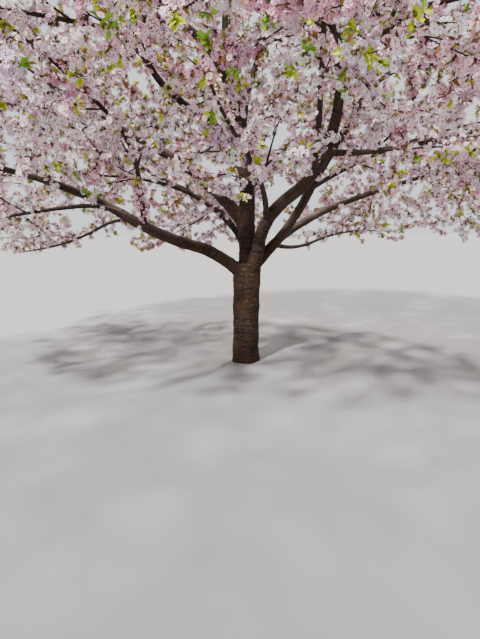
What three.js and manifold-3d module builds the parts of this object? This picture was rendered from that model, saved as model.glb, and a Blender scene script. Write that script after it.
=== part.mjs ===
// Cherry blossom tree in full bloom: a short trunk, its boughs and its masses of blossom.
// Millimetres, +Z up. The origin is the middle of the flat cut at ground level, and -Y is the front.
import * as THREE from 'three';
import { mergeVertices } from 'three/addons/utils/BufferGeometryUtils.js';
import Module from 'manifold-3d';

const wasm = await Module();
wasm.setup();

// The gap between two pieces that meet
const clearance = 0.4;

// Trunk: radius at mid height, root flare, swelling under the fork, and lean towards +X at the fork
const trunk = {
  top: 1165,
  shoulder: 1000,
  fork: 1100,
  radius: 156,
  flare: 14,
  flareHeight: 90,
  swell: 10,
  swellFrom: 780,
  lean: 15,
  lobes: 5,
  lobeDepth: 0.06,
  lobeHeight: 170,
  sides: 18,
  rings: 6,
  ringBias: 1.4,
  domeRings: 3,
};

// Crown: the outline that the blossom fills. Its skirt hangs lowest at the back and the left,
// is higher at the right, and is raised at the front, where it hangs lower near the trunk.
const crown = {
  radius: 4250,
  wave2: 120,
  turn2: 0.6,
  wave3: 100,
  turn3: -1,
  top: 6200,
  widest: 2500,
  roundness: 2.2,
  skirt: 1150,
  skirtRight: 150,
  skirtFront: 1200,
  skirtRadius: 2700,
  inside: 2150,
  insideFront: 450,
  frontFocus: 2.5,
  lip: 900,
  lipCurve: 2.5,
};

// Limbs. Each starts on the centreline of the limb it grows on, at a share of that one's length, and
// bends evenly through its azimuths (from +X towards +Y) and rises (above level), in degrees.
// Base and tip are diameters. From the share 'enter' on, the limb is the stem of its mass of blossom
// and tapers to massShape.tip.
const limbs = [
  { name: 'leader', on: 'trunk', at: 0.93, length: 2240, base: 205, tip: 120,
    azimuth: [269, 244, 219, 194], rise: [90, 90, 80, 64] },
  { name: 'left_bough', on: 'trunk', at: 0.9, length: 3800, base: 160, enter: 0.42,
    azimuth: [192, 195, 199, 200, 200, 200], rise: [48, 16, 31, 19, 9, 7] },
  { name: 'front_right_bough', on: 'trunk', at: 0.93, length: 2690, base: 165, tip: 75,
    azimuth: [318, 296, 318, 328, 304, 288, 270, 253], rise: [44, 73, 49, 31, 46, 60, 65, 64] },
  { name: 'right_bough', on: 'trunk', at: 0.93, length: 2910, base: 115, tip: 70,
    azimuth: [355, 352, 340, 336, 329, 319], rise: [49, 51, 63, 56, 65, 75] },
  { name: 'right_low_bough', on: 'trunk', at: 0.9, length: 4200, base: 120, enter: 0.31,
    azimuth: [30, 28, 26, 21, 17, 17], rise: [56, 29, 18, 16, 13, 1] },
  { name: 'back_left_bough', on: 'trunk', at: 0.93, length: 3730, base: 105, enter: 0.39,
    azimuth: [77, 138, 141, 142, 150, 152, 153, 153], rise: [72, 49, 30, 22, 25, 21, 14, 5] },
  { name: 'back_bough', on: 'trunk', at: 0.95, length: 3700, base: 130, enter: 0.38,
    azimuth: [80, 88, 94, 94], rise: [68, 43, 24, 12] },
  { name: 'up_left_bough', on: 'leader', at: 0.25, length: 3730, base: 150, enter: 0.36,
    azimuth: [169, 172, 173, 172, 172, 172], rise: [54, 39, 27, 31, 35, 29] },
  { name: 'high_left_bough', on: 'leader', at: 0.6, length: 2800, base: 105, enter: 0.54,
    azimuth: [205, 207, 223, 245, 251, 250], rise: [49, 25, 32, 70, 56, 21] },
  { name: 'top_right_bough', on: 'leader', at: 0.72, length: 2550, base: 90, enter: 0.35,
    azimuth: [57, 33, 20, 22], rise: [81, 62, 61, 55] },
  { name: 'top_left_bough', on: 'leader', at: 1, length: 2300, base: 95, enter: 0.3,
    azimuth: [201, 197, 185, 183, 185], rise: [56, 31, 47, 55, 62] },
  { name: 'top_branch', on: 'leader', at: 0.97, length: 2550, base: 85, enter: 0.35,
    azimuth: [106, 87, 79, 78], rise: [82, 80, 76, 79] },
  { name: 'high_back_bough', on: 'leader', at: 0.48, length: 3300, base: 110, enter: 0.36,
    azimuth: [120, 110, 104, 104], rise: [56, 50, 38, 30] },
  { name: 'high_right_bough', on: 'leader', at: 0.62, length: 3000, base: 95, enter: 0.33,
    azimuth: [62, 51, 44, 44], rise: [52, 46, 40, 40] },
  { name: 'left_near_branch', on: 'left_bough', at: 0.39, length: 2250, base: 52, enter: 0.22,
    azimuth: [217, 217, 216, 216, 216], rise: [33, -6, -11, -5, 2] },
  { name: 'left_back_branch', on: 'left_bough', at: 0.33, length: 2450, base: 48, enter: 0.24,
    azimuth: [143, 149, 150, 150], rise: [27, -22, -11, -5] },
  { name: 'left_rise_branch', on: 'left_bough', at: 0.35, length: 2500, base: 58, enter: 0.22,
    azimuth: [278, 271, 244, 245, 247], rise: [53, 55, 30, 19, 15] },
  { name: 'high_left_side_branch', on: 'high_left_bough', at: 0.51, length: 2290, base: 58, enter: 0.26,
    azimuth: [202, 191, 186, 186, 186], rise: [45, 6, 8, 17, 23] },
  { name: 'front_up_branch', on: 'front_right_bough', at: 0.27, length: 2360, base: 66, enter: 0.22,
    azimuth: [264, 257, 248, 261], rise: [41, 19, 22, 24] },
  { name: 'front_side_branch', on: 'front_right_bough', at: 0.64, length: 2100, base: 60, enter: 0.17,
    azimuth: [332, 341, 350, 350, 350], rise: [-9, 6, 10, 7, 4] },
  { name: 'front_left_branch', on: 'front_right_bough', at: 0.97, length: 2000, base: 58, enter: 0.2,
    azimuth: [241, 221, 217, 219], rise: [22, 12, 20, 30] },
  { name: 'front_over_branch', on: 'front_right_bough', at: 0.56, length: 2700, base: 64, enter: 0.33,
    azimuth: [264, 262, 262, 262], rise: [30, 25, 22, 27] },
  { name: 'front_out_branch', on: 'front_right_bough', at: 1, length: 1950, base: 66, enter: 0.21,
    azimuth: [317, 311, 310, 310], rise: [17, 23, 24, 22] },
  { name: 'right_out_branch', on: 'right_bough', at: 1, length: 1850, base: 66, enter: 0.19,
    azimuth: [332, 346, 352, 351, 351], rise: [33, 7, 11, 14, 16] },
  { name: 'right_top_branch', on: 'right_bough', at: 0.92, length: 1950, base: 56, enter: 0.21,
    azimuth: [25, 38, 41, 40], rise: [72, 61, 56, 57] },
  { name: 'right_side_branch', on: 'right_bough', at: 0.74, length: 2500, base: 50, enter: 0.22,
    azimuth: [27, 18, 15, 15], rise: [58, 13, -1, 3] },
  { name: 'right_mid_branch', on: 'right_bough', at: 0.42, length: 2400, base: 55, enter: 0.21,
    azimuth: [20, 10, 5], rise: [30, 20, 10] },
  { name: 'right_far_branch', on: 'right_low_bough', at: 0.13, length: 3250, base: 52, enter: 0.34,
    azimuth: [59, 52, 48, 48], rise: [-11, 11, 3, -4] },
  { name: 'back_left_side_branch', on: 'back_left_bough', at: 0.35, length: 2200, base: 52, enter: 0.23,
    azimuth: [190, 184, 179, 180], rise: [28, 9, -2, -3] },
  { name: 'back_right_branch', on: 'back_bough', at: 0.35, length: 2500, base: 58, enter: 0.24,
    azimuth: [53, 45, 39, 40], rise: [40, 24, 14, 8] },
  { name: 'back_low_branch', on: 'back_bough', at: 0.3, length: 2350, base: 52, enter: 0.26,
    azimuth: [122, 117, 112, 112], rise: [0, -9, -13, -8] },
];

// A limb's tube: steps of its path, the length of a facet, its sides, and the collar where it starts
const limbShape = {
  steps: 24,
  facet: 600,
  ringBias: 1.2,
  thick: 100,
  thickSides: 6,
  thinSides: 5,
  collar: 0.3,
  collarLength: 130,
};

// A mass: its stem, the twigs on it and the sprays on them. Each spray stands for a flowering shoot.
const massShape = {
  stemSteps: 12,
  stemRings: 4,
  stemSides: 4,
  heart: 0.5,
  tip: 18,
  tipSpray: 0.94,
  headingStep: 0.02,
  reach: 2100,
  candidates: 500,
  twigs: 6,
  spacing: 500,
  lag: 0.55,
  firstTwig: 0.07,
  lastTwig: 0.92,
  widestFork: -0.35,
  probes: [0.15, 0.3, 0.45, 0.6, 0.75, 0.9, 1],
  twigSides: 3,
  twigShare: 0.5,
  twigThick: 13,
  twigTip: 7,
  forward: 0.25,
  straight: 0.35,
  bentTwig: 1150,
  sideShares: [0.24, 0.44, 0.64, 0.84],
  sideAngle: 52,
  rolls: 14,
  apart: 350,
  bodyGap: 14,
};

// A spray is an eight-faced lozenge: its length, and its width and thickness as shares of that
const spray = {
  share: 0.62,
  shortest: 480,
  longest: 940,
  sideShare: 0.56,
  sideShortest: 480,
  sideLongest: 840,
  width: 0.68,
  thickness: 0.36,
  sunk: 0.28,
  sideSunk: 3,
  mostOfTwig: 0.9,
  vary: 0.15,
  gap: 0.05,
  twigGap: 0.1,
};

const barkColour = '#4a352b';
const limbColour = '#443833';
const blossomColours = ['#ecd5df', '#e7cad8', '#f0dde3', '#e3c3d2'];

const radians = THREE.MathUtils.degToRad;

// A repeatable run of numbers between 0 and 1
function seeded(seed) {
  let state = seed >>> 0;
  return () => {
    state = (Math.imul(state, 1664525) + 1013904223) >>> 0;
    return state / 4294967296;
  };
}

// The value at a share of the way along an evenly spaced list of values
function along(values, share) {
  const place = Math.min(Math.max(share, 0), 1) * (values.length - 1);
  const index = Math.min(Math.floor(place), values.length - 2);
  return values[index] + (values[index + 1] - values[index]) * (place - index);
}

// The point at a share of the way along a path of evenly spaced points
function pointOn(path, share) {
  const place = Math.min(Math.max(share, 0), 1) * (path.length - 1);
  const index = Math.min(Math.floor(place), path.length - 2);
  return path[index].clone().lerp(path[index + 1], place - index);
}

function headingOf(azimuth, rise) {
  const flat = Math.cos(radians(rise));
  return new THREE.Vector3(
    flat * Math.cos(radians(azimuth)),
    flat * Math.sin(radians(azimuth)),
    Math.sin(radians(rise)),
  );
}

// A path of even steps whose heading bends through the given azimuths and rises
function bendPath(start, azimuths, rises, length, steps) {
  const path = [start.clone()];
  for (let step = 0; step < steps; step += 1) {
    const share = (step + 0.5) / steps;
    const direction = headingOf(along(azimuths, share), along(rises, share));
    path.push(path[step].clone().addScaledVector(direction, length / steps));
  }
  return path;
}

// The heading of a path at a share of the way along it
function headingAt(path, share) {
  const step = 0.5 / path.length;
  return pointOn(path, share + step).sub(pointOn(path, share - step)).normalize();
}

// The heading of a mass's stem or twig close about a share of the way along it
function headingNear(path, share) {
  const step = massShape.headingStep;
  return pointOn(path, share + step).sub(pointOn(path, share - step)).normalize();
}

// A unit vector square to the direction
function squareTo(direction) {
  const up = Math.abs(direction.z) < 0.9 ? new THREE.Vector3(0, 0, 1) : new THREE.Vector3(1, 0, 0);
  return up.cross(direction).normalize();
}

// The closed solid of a geometry, with its doubled vertices merged
function toSolid(geometry) {
  geometry.deleteAttribute('normal');
  geometry.deleteAttribute('uv');
  const merged = mergeVertices(geometry, 1e-3);
  const corners = merged.index.array;
  const triangles = [];
  for (let i = 0; i < corners.length; i += 3) {
    const [a, b, c] = corners.slice(i, i + 3);
    if (a !== b && b !== c && c !== a) triangles.push(a, b, c);
  }
  return new wasm.Manifold(new wasm.Mesh({
    numProp: 3,
    vertProperties: Float32Array.from(merged.attributes.position.array),
    triVerts: Uint32Array.from(triangles),
  }));
}

// The largest piece of a solid, without loose scraps and without sealed hollows
function largest(solid) {
  const pieces = solid.decompose();
  pieces.sort((a, b) => b.volume() - a.volume());
  return pieces[0];
}

function toGeometry(solid) {
  const mesh = solid.getMesh();
  const geometry = new THREE.BufferGeometry();
  geometry.setAttribute('position', new THREE.BufferAttribute(mesh.vertProperties, 3));
  geometry.setIndex(new THREE.BufferAttribute(mesh.triVerts, 1));
  geometry.computeVertexNormals();
  return geometry;
}

// A tapering tube: a cylinder whose rings are laid square to a path, each with its own radius.
// Its end rings are square to the headings given for them, or else to the path.
function tube(path, radii, sides, startHeading, lastHeading) {
  const rings = path.length - 1;
  const geometry = new THREE.CylinderGeometry(1, 1, 1, sides, rings);
  const frames = [];
  let across = null;
  for (let ring = 0; ring <= rings; ring += 1) {
    const before = path[Math.max(ring - 1, 0)];
    const after = path[Math.min(ring + 1, rings)];
    let forward = after.clone().sub(before).normalize();
    if (ring === 0 && startHeading) forward = startHeading;
    if (ring === rings && lastHeading) forward = lastHeading;
    across = across === null ? squareTo(forward) : across.clone();
    across.addScaledVector(forward, -across.dot(forward)).normalize();
    frames.push([across, across.clone().cross(forward)]);
  }
  const place = geometry.attributes.position;
  const vertex = new THREE.Vector3();
  for (let i = 0; i < place.count; i += 1) {
    vertex.fromBufferAttribute(place, i);
    const ring = Math.round((vertex.y + 0.5) * rings);
    const [side, other] = frames[ring];
    const laid = path[ring].clone();
    laid.addScaledVector(side, vertex.x * radii[ring]);
    laid.addScaledVector(other, vertex.z * radii[ring]);
    place.setXYZ(i, laid.x, laid.y, laid.z);
  }
  return toSolid(geometry);
}

// Trunk

function trunkAxis(height) {
  return new THREE.Vector3(trunk.lean * (Math.max(height, 0) / trunk.fork) ** 1.5, 0, height);
}

function trunkRadius(height) {
  const flare = trunk.flare * Math.exp(-height / trunk.flareHeight);
  const rise = THREE.MathUtils.smoothstep(height, trunk.swellFrom, trunk.shoulder);
  return trunk.radius + flare + trunk.swell * rise;
}

// The trunk grown by a margin: a turned outline, flat below and domed above, with root lobes
function trunkSolid(margin) {
  const outline = [new THREE.Vector2(0, 0)];
  for (let ring = 0; ring <= trunk.rings; ring += 1) {
    const height = trunk.shoulder * (ring / trunk.rings) ** trunk.ringBias;
    outline.push(new THREE.Vector2(trunkRadius(height) + margin, height));
  }
  const shoulder = trunkRadius(trunk.shoulder) + margin;
  const dome = trunk.top + margin - trunk.shoulder;
  for (let ring = 1; ring <= trunk.domeRings; ring += 1) {
    const angle = (ring / trunk.domeRings) * (Math.PI / 2);
    const radius = ring === trunk.domeRings ? 0 : shoulder * Math.cos(angle);
    outline.push(new THREE.Vector2(radius, trunk.shoulder + dome * Math.sin(angle)));
  }
  const geometry = new THREE.LatheGeometry(outline, trunk.sides);
  geometry.rotateX(Math.PI / 2);
  const place = geometry.attributes.position;
  for (let i = 0; i < place.count; i += 1) {
    const height = Math.max(place.getZ(i), 0);
    const angle = Math.atan2(place.getY(i), place.getX(i));
    const lobe = trunk.lobeDepth * Math.cos(trunk.lobes * angle) * Math.exp(-height / trunk.lobeHeight);
    const axis = trunkAxis(height);
    place.setXYZ(i, place.getX(i) * (1 + lobe) + axis.x, place.getY(i) * (1 + lobe), height);
  }
  return toSolid(geometry);
}

// Limbs

function limbRadius(limb, share) {
  const collar = limb.collar * Math.exp((-share * limb.length) / limbShape.collarLength);
  const tip = limb.tip === undefined ? massShape.tip : limb.tip;
  return ((limb.base + (tip - limb.base) * share) * (1 + collar)) / 2;
}

function placeLimbs() {
  const paths = new Map();
  for (const limb of limbs) {
    const start = limb.on === 'trunk'
      ? trunkAxis(trunk.fork * limb.at)
      : pointOn(paths.get(limb.on), limb.at);
    limb.collar = limb.on === 'trunk' ? 0 : limbShape.collar;
    limb.last = limb.enter === undefined ? 1 : limb.enter;
    limb.path = bendPath(start, limb.azimuth, limb.rise, limb.length, limbShape.steps);
    paths.set(limb.name, limb.path);
  }
}

function limbTube(limb, margin) {
  const rings = Math.max(3, Math.round((limb.length * limb.last) / limbShape.facet));
  const sides = limb.base > limbShape.thick ? limbShape.thickSides : limbShape.thinSides;
  const path = [];
  const radii = [];
  for (let ring = 0; ring <= rings; ring += 1) {
    const share = limb.last * (ring / rings) ** limbShape.ringBias;
    path.push(pointOn(limb.path, share));
    radii.push(limbRadius(limb, share) + margin);
  }
  const last = headingAt(limb.path, limb.last);
  path[rings].addScaledVector(last, margin);
  path[0].addScaledVector(last, -margin);
  return tube(path, radii, sides, null, last);
}

// Each limb is cut clear of the trunk and of the limbs before it, and kept with its clearance for
// the masses to be cut with
function limbSolids(trunkGrown) {
  limbs.forEach((limb, order) => {
    let solid = limbTube(limb, 0).subtract(trunkGrown);
    for (const other of limbs.slice(0, order)) solid = solid.subtract(other.grown);
    limb.solid = largest(solid);
    limb.grown = limbTube(limb, clearance);
  });
}

// The crown's outline

function crownRadius(angle) {
  return crown.radius + crown.wave2 * Math.sin(2 * angle + crown.turn2)
    + crown.wave3 * Math.sin(3 * angle + crown.turn3);
}

function crownTop(radius, angle) {
  const out = (radius / crownRadius(angle)) ** crown.roundness;
  return crown.widest + (crown.top - crown.widest) * Math.sqrt(Math.max(0, 1 - out));
}

function crownUnder(radius, angle) {
  const front = Math.max(0, -Math.sin(angle)) ** crown.frontFocus;
  const skirt = crown.skirt + crown.skirtRight * Math.max(0, Math.cos(angle)) + crown.skirtFront * front;
  const out = radius / crown.skirtRadius;
  const inside = crown.inside - crown.insideFront * front;
  if (out < 1) return skirt + (inside - skirt) * (1 - out * out);
  const beyond = (radius - crown.skirtRadius) / (crown.radius - crown.skirtRadius);
  return skirt + crown.lip * beyond ** crown.lipCurve;
}

function inCrown(point, margin) {
  const radius = Math.hypot(point.x, point.y);
  const angle = Math.atan2(point.y, point.x);
  return radius < crownRadius(angle) - margin
    && point.z < crownTop(radius, angle) - margin
    && point.z > crownUnder(radius, angle) + margin;
}

// Masses of blossom

// A mass keeps to the points that are nearer its heart than any other mass's, inside the crown
function inCell(mass, point, margin) {
  if (!inCrown(point, margin)) return false;
  const own = point.distanceToSquared(mass.heart);
  return masses.every((other) => {
    if (other === mass) return true;
    const between = 2 * other.heart.distanceTo(mass.heart);
    return (point.distanceToSquared(other.heart) - own) / between > margin;
  });
}

// The knots of every limb and stem but the mass's own stem
function otherKnots(mass) {
  return limbKnots.filter((knot) => knot.limb !== mass.limb || knot.share < mass.limb.enter);
}

// How far a point lies outside the nearest of these knots
function limbDistance(knots, point) {
  let nearest = Infinity;
  for (const knot of knots) {
    const offset = point.clone().sub(knot.start);
    const share = Math.min(Math.max(offset.dot(knot.span) / knot.spanSquared, 0), 1);
    const distance = offset.addScaledVector(knot.span, -share).length() - knot.radius;
    nearest = Math.min(nearest, distance);
  }
  return nearest;
}

// Whether a lozenge with these half sizes stays clear of every one of these knots
function clearOfLimbs(knots, lozenge) {
  const [a, b, c] = lozenge.half;
  const slope = Math.sqrt(1 / (a * a) + 1 / (b * b) + 1 / (c * c));
  return knots.every((knot) => [0.25, 0.75].every((share) => {
    const offset = knot.start.clone().addScaledVector(knot.span, share).sub(lozenge.centre);
    const depth = Math.abs(offset.dot(lozenge.forward)) / a
      + Math.abs(offset.dot(lozenge.side)) / b
      + Math.abs(offset.dot(lozenge.other)) / c;
    return depth > 1 + (knot.radius + massShape.bodyGap) * slope;
  }));
}

function makeLozenge(root, forward, length, roll) {
  const first = squareTo(forward);
  const second = forward.clone().cross(first);
  const side = first.clone().multiplyScalar(Math.cos(roll)).addScaledVector(second, Math.sin(roll));
  return {
    root,
    forward,
    side,
    other: forward.clone().cross(side),
    centre: root.clone().addScaledVector(forward, length / 2),
    half: [length / 2, (length * spray.width) / 2, (length * spray.thickness) / 2],
  };
}

// Whether a point lies in a lozenge, or within the given share of its size from its faces
function inLozenge(lozenge, point, grow) {
  const offset = point.clone().sub(lozenge.centre);
  const depth = Math.abs(offset.dot(lozenge.forward)) / lozenge.half[0]
    + Math.abs(offset.dot(lozenge.side)) / lozenge.half[1]
    + Math.abs(offset.dot(lozenge.other)) / lozenge.half[2];
  return depth < 1 + grow;
}

// The tip, the root and the four points half way that are furthest out
function lozengeCorners(lozenge) {
  const { centre, forward, side, other, half } = lozenge;
  return [
    centre.clone().addScaledVector(forward, half[0]),
    centre.clone().addScaledVector(side, half[1]),
    centre.clone().addScaledVector(side, -half[1]),
    centre.clone().addScaledVector(other, half[2]),
    centre.clone().addScaledVector(other, -half[2]),
    centre.clone().addScaledVector(forward, -half[0]),
  ];
}

// Whether two lozenges run into each other, by their corners and the middles of their edges
function lozengesMeet(one, two) {
  return [[one, two], [two, one]].some(([probe, body]) => {
    const corners = lozengeCorners(probe);
    const ring = corners.slice(1, 5);
    const middles = ring.map((corner) => corner.clone().lerp(corners[0], 0.5));
    middles.push(...ring.map((corner) => corner.clone().lerp(corners[5], 0.5)));
    return [...corners, ...middles, probe.centre].some((point) => inLozenge(body, point, spray.gap));
  });
}

function lozengeFits(mass, lozenge) {
  const corners = lozengeCorners(lozenge).slice(0, 5);
  return corners.every((corner) => inCell(mass, corner, massShape.bodyGap))
    && clearOfLimbs(mass.knots, lozenge)
    && mass.sprays.every((other) => !lozengesMeet(lozenge, other));
}

function lozengeSolid(lozenge) {
  const { centre, forward, side, other, half } = lozenge;
  const geometry = new THREE.OctahedronGeometry(1, 0);
  const place = new THREE.Matrix4().makeBasis(
    forward.clone().multiplyScalar(half[0]),
    side.clone().multiplyScalar(half[1]),
    other.clone().multiplyScalar(half[2]),
  );
  geometry.applyMatrix4(place.setPosition(centre));
  return toSolid(geometry);
}

// The ends of a mass's twigs: the free places of its cell that lie furthest from what is there
function twigEnds(mass, random) {
  const taken = [mass.stemPoints[mass.stemPoints.length - 1]];
  const pool = [];
  for (let i = 0; i < massShape.candidates; i += 1) {
    const height = 2 * random() - 1;
    const turn = 2 * Math.PI * random();
    const distance = massShape.reach * Math.cbrt(random());
    const flat = Math.sqrt(1 - height * height);
    const offset = new THREE.Vector3(flat * Math.cos(turn), flat * Math.sin(turn), height);
    const point = mass.heart.clone().addScaledVector(offset, distance);
    if (inCell(mass, point, 2 * massShape.bodyGap)) pool.push(point);
  }
  const ends = [];
  while (ends.length < massShape.twigs) {
    let best = null;
    let furthest = massShape.spacing;
    for (const point of pool) {
      let distance = Math.min(...taken.map((other) => point.distanceTo(other)));
      distance = Math.min(distance, ...mass.stemPoints.map((other) => point.distanceTo(other)));
      if (distance > furthest) {
        furthest = distance;
        best = point;
      }
    }
    if (best === null) break;
    ends.push(best);
    taken.push(best);
  }
  return ends;
}

// A twig from the stem to one of those places, bending forward, with a spray on its end
function growTwig(mass, end, random) {
  const stem = mass.stemPoints;
  const chord = stem[stem.length - 1].clone().sub(stem[0]);
  const offset = end.clone().sub(stem[0]);
  const level = offset.dot(chord) / chord.lengthSq();
  const out = offset.addScaledVector(chord, -level).length() / chord.length();
  const wanted = level - massShape.lag * out;
  const share = Math.min(Math.max(wanted, massShape.firstTwig), massShape.lastTwig);
  const start = pointOn(stem, share);
  const stemHeading = headingNear(stem, share);
  const straight = end.clone().sub(start);
  const distance = straight.length();
  const roll = 2 * Math.PI * random();
  if (straight.dot(stemHeading) / distance < massShape.widestFork) return null;
  const bend = start.clone().addScaledVector(stemHeading, massShape.forward * distance)
    .addScaledVector(straight, massShape.straight);
  const forward = end.clone().sub(bend).normalize();
  const length = Math.min(Math.max(spray.share * distance, spray.shortest), spray.longest);
  if (length > spray.mostOfTwig * distance) return null;
  const root = end.clone().addScaledVector(forward, -length);
  const tip = root.clone().addScaledVector(forward, spray.sunk * length);
  const rings = distance > massShape.bentTwig ? 2 : 1;
  const path = new THREE.QuadraticBezierCurve3(start, bend, tip).getPoints(rings);
  const lozenge = makeLozenge(root, forward, length, roll);
  const thick = Math.min(massShape.twigThick, massShape.twigShare * stemRadius(mass, share));
  const clear = massShape.probes.every((t) => {
    const point = pointOn(path, t);
    return limbDistance(mass.knots, point) > thick + massShape.bodyGap
      && inCell(mass, point, thick + massShape.bodyGap)
      && mass.sprays.every((other) => !inLozenge(other, point, spray.twigGap));
  });
  if (!clear || !lozengeFits(mass, lozenge)) return null;
  return { path, thick, lozenge, distance };
}

// Whether a side spray keeps off the stem and every twig but its own
function clearOfTwigs(mass, own, lozenge) {
  const onTwigs = mass.twigs.filter((twig) => twig !== own)
    .flatMap((twig) => massShape.probes.map((t) => pointOn(twig.path, t)));
  return [...onTwigs, ...mass.stemPoints].every((point) => !inLozenge(lozenge, point, spray.twigGap));
}

// The sprays on a twig's sides, each turned to where there is most room
function growSides(mass, twig, random) {
  massShape.sideShares.forEach((share, order) => {
    const point = pointOn(twig.path, share);
    const forward = headingNear(twig.path, share);
    const first = squareTo(forward);
    const second = forward.clone().cross(first);
    const wanted = spray.sideShare * twig.distance * (1 + spray.vary * (2 * random() - 1));
    const length = Math.min(Math.max(wanted, spray.sideShortest), spray.sideLongest);
    const turn = 2 * Math.PI * random();
    const roll = 2 * Math.PI * random();
    let best = null;
    let roomiest = massShape.apart;
    for (let step = 0; step < massShape.rolls; step += 1) {
      const angle = turn + (2 * Math.PI * step) / massShape.rolls + order;
      const lean = radians(massShape.sideAngle);
      const direction = forward.clone().multiplyScalar(Math.cos(lean))
        .addScaledVector(first, Math.sin(lean) * Math.cos(angle))
        .addScaledVector(second, Math.sin(lean) * Math.sin(angle));
      const root = point.clone().addScaledVector(direction, -spray.sideSunk);
      const lozenge = makeLozenge(root, direction, length, roll);
      const room = Math.min(...mass.sprays.map((other) => other.centre.distanceTo(lozenge.centre)));
      if (room > roomiest && lozengeFits(mass, lozenge) && clearOfTwigs(mass, twig, lozenge)) {
        roomiest = room;
        best = lozenge;
      }
    }
    if (best !== null) mass.sprays.push(best);
  });
}

function stemRadius(mass, share) {
  return limbRadius(mass.limb, mass.limb.enter + (1 - mass.limb.enter) * share);
}

function placeMass(limb) {
  const stemPoints = [];
  for (let step = 0; step <= massShape.stemSteps; step += 1) {
    const share = step / massShape.stemSteps;
    stemPoints.push(pointOn(limb.path, limb.enter + (1 - limb.enter) * share));
  }
  stemPoints[0].addScaledVector(headingAt(limb.path, limb.enter), clearance);
  const heart = pointOn(stemPoints, massShape.heart);
  const mass = { limb, stemPoints, heart, sprays: [], twigs: [] };
  mass.knots = otherKnots(mass);
  return mass;
}

function growMass(mass, order) {
  const random = seeded(7919 * (order + 1));
  const stem = mass.stemPoints;
  const tipLozenge = makeLozenge(
    pointOn(stem, massShape.tipSpray), headingAt(stem, 1), spray.sideLongest, 2 * Math.PI * random());
  if (lozengeFits(mass, tipLozenge)) mass.sprays.push(tipLozenge);
  for (const end of twigEnds(mass, random)) {
    const twig = growTwig(mass, end, random);
    if (twig === null) continue;
    mass.twigs.push(twig);
    mass.sprays.push(twig.lozenge);
  }
  for (const twig of mass.twigs) growSides(mass, twig, random);
}

function massSolid(mass) {
  const stemPath = [];
  const stemRadii = [];
  for (let ring = 0; ring <= massShape.stemRings; ring += 1) {
    const share = ring / massShape.stemRings;
    stemPath.push(pointOn(mass.stemPoints, share));
    stemRadii.push(stemRadius(mass, share));
  }
  const first = headingAt(mass.limb.path, mass.limb.enter);
  const pieces = [tube(stemPath, stemRadii, massShape.stemSides, first)];
  for (const twig of mass.twigs) {
    const last = twig.path.length - 1;
    const radii = twig.path.map((point, ring) => along([twig.thick, massShape.twigTip], ring / last));
    pieces.push(tube(twig.path, radii, massShape.twigSides));
  }
  for (const lozenge of mass.sprays) pieces.push(lozengeSolid(lozenge));
  let solid = wasm.Manifold.union(pieces);
  const branches = limbs.filter((limb) => limb.on === mass.limb.name);
  for (const branch of branches) solid = solid.subtract(branch.grown);
  return largest(solid);
}

// Assembly

function addPart(group, name, solid, colour, roughness, place) {
  const geometry = toGeometry(solid).translate(-place.x, -place.y, -place.z);
  const material = new THREE.MeshStandardMaterial({ color: colour, roughness, metalness: 0 });
  const mesh = new THREE.Mesh(geometry, material);
  mesh.name = name;
  mesh.position.copy(place);
  group.add(mesh);
}

placeLimbs();
limbSolids(trunkSolid(clearance));

const limbKnots = [];
for (const limb of limbs) {
  for (let step = 0; step < limbShape.steps; step += 1) {
    const span = limb.path[step + 1].clone().sub(limb.path[step]);
    const share = step / limbShape.steps;
    const radius = limbRadius(limb, share);
    const start = limb.path[step];
    limbKnots.push({ limb, share, start, span, spanSquared: span.lengthSq(), radius });
  }
}

const masses = limbs.filter((limb) => limb.enter !== undefined).map(placeMass);
masses.forEach(growMass);

const tree = new THREE.Group();
const wood = new THREE.Group();
const blossom = new THREE.Group();
tree.add(wood, blossom);

addPart(wood, 'trunk', trunkSolid(0), barkColour, 0.85, new THREE.Vector3());
for (const limb of limbs) {
  addPart(wood, limb.name, limb.solid, limbColour, 0.85, limb.path[0]);
}
masses.forEach((mass, order) => {
  const name = mass.limb.name.replace(/_(bough|branch)$/, '_blossom');
  const colour = blossomColours[order % blossomColours.length];
  addPart(blossom, name, massSolid(mass), colour, 0.7, mass.stemPoints[0]);
});

export default tree;
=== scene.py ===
import math

import bmesh
import bpy
import numpy as np
from mathutils import Matrix, Vector


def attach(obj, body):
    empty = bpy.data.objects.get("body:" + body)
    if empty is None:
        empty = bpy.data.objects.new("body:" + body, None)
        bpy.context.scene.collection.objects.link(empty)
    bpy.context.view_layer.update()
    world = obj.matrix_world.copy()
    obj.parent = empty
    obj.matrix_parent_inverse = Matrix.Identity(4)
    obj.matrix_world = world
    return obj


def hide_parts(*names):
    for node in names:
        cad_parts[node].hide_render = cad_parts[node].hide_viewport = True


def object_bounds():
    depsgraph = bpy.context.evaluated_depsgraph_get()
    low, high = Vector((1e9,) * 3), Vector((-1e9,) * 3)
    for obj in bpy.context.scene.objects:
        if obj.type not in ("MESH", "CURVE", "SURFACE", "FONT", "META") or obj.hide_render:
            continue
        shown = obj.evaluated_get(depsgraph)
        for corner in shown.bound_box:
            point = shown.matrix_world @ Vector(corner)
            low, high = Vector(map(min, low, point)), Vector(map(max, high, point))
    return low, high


# Cherry tree in bloom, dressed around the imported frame. Metres, +Z up, the front is -Y.

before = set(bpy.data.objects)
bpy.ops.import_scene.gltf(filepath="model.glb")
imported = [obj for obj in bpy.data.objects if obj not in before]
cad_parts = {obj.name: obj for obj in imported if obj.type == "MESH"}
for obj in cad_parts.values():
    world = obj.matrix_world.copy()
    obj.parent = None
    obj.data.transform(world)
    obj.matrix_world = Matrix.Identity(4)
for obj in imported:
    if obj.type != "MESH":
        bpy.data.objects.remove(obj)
cadBox = [list(corner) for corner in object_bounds()]

# The tree's own rule, in metres

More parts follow.
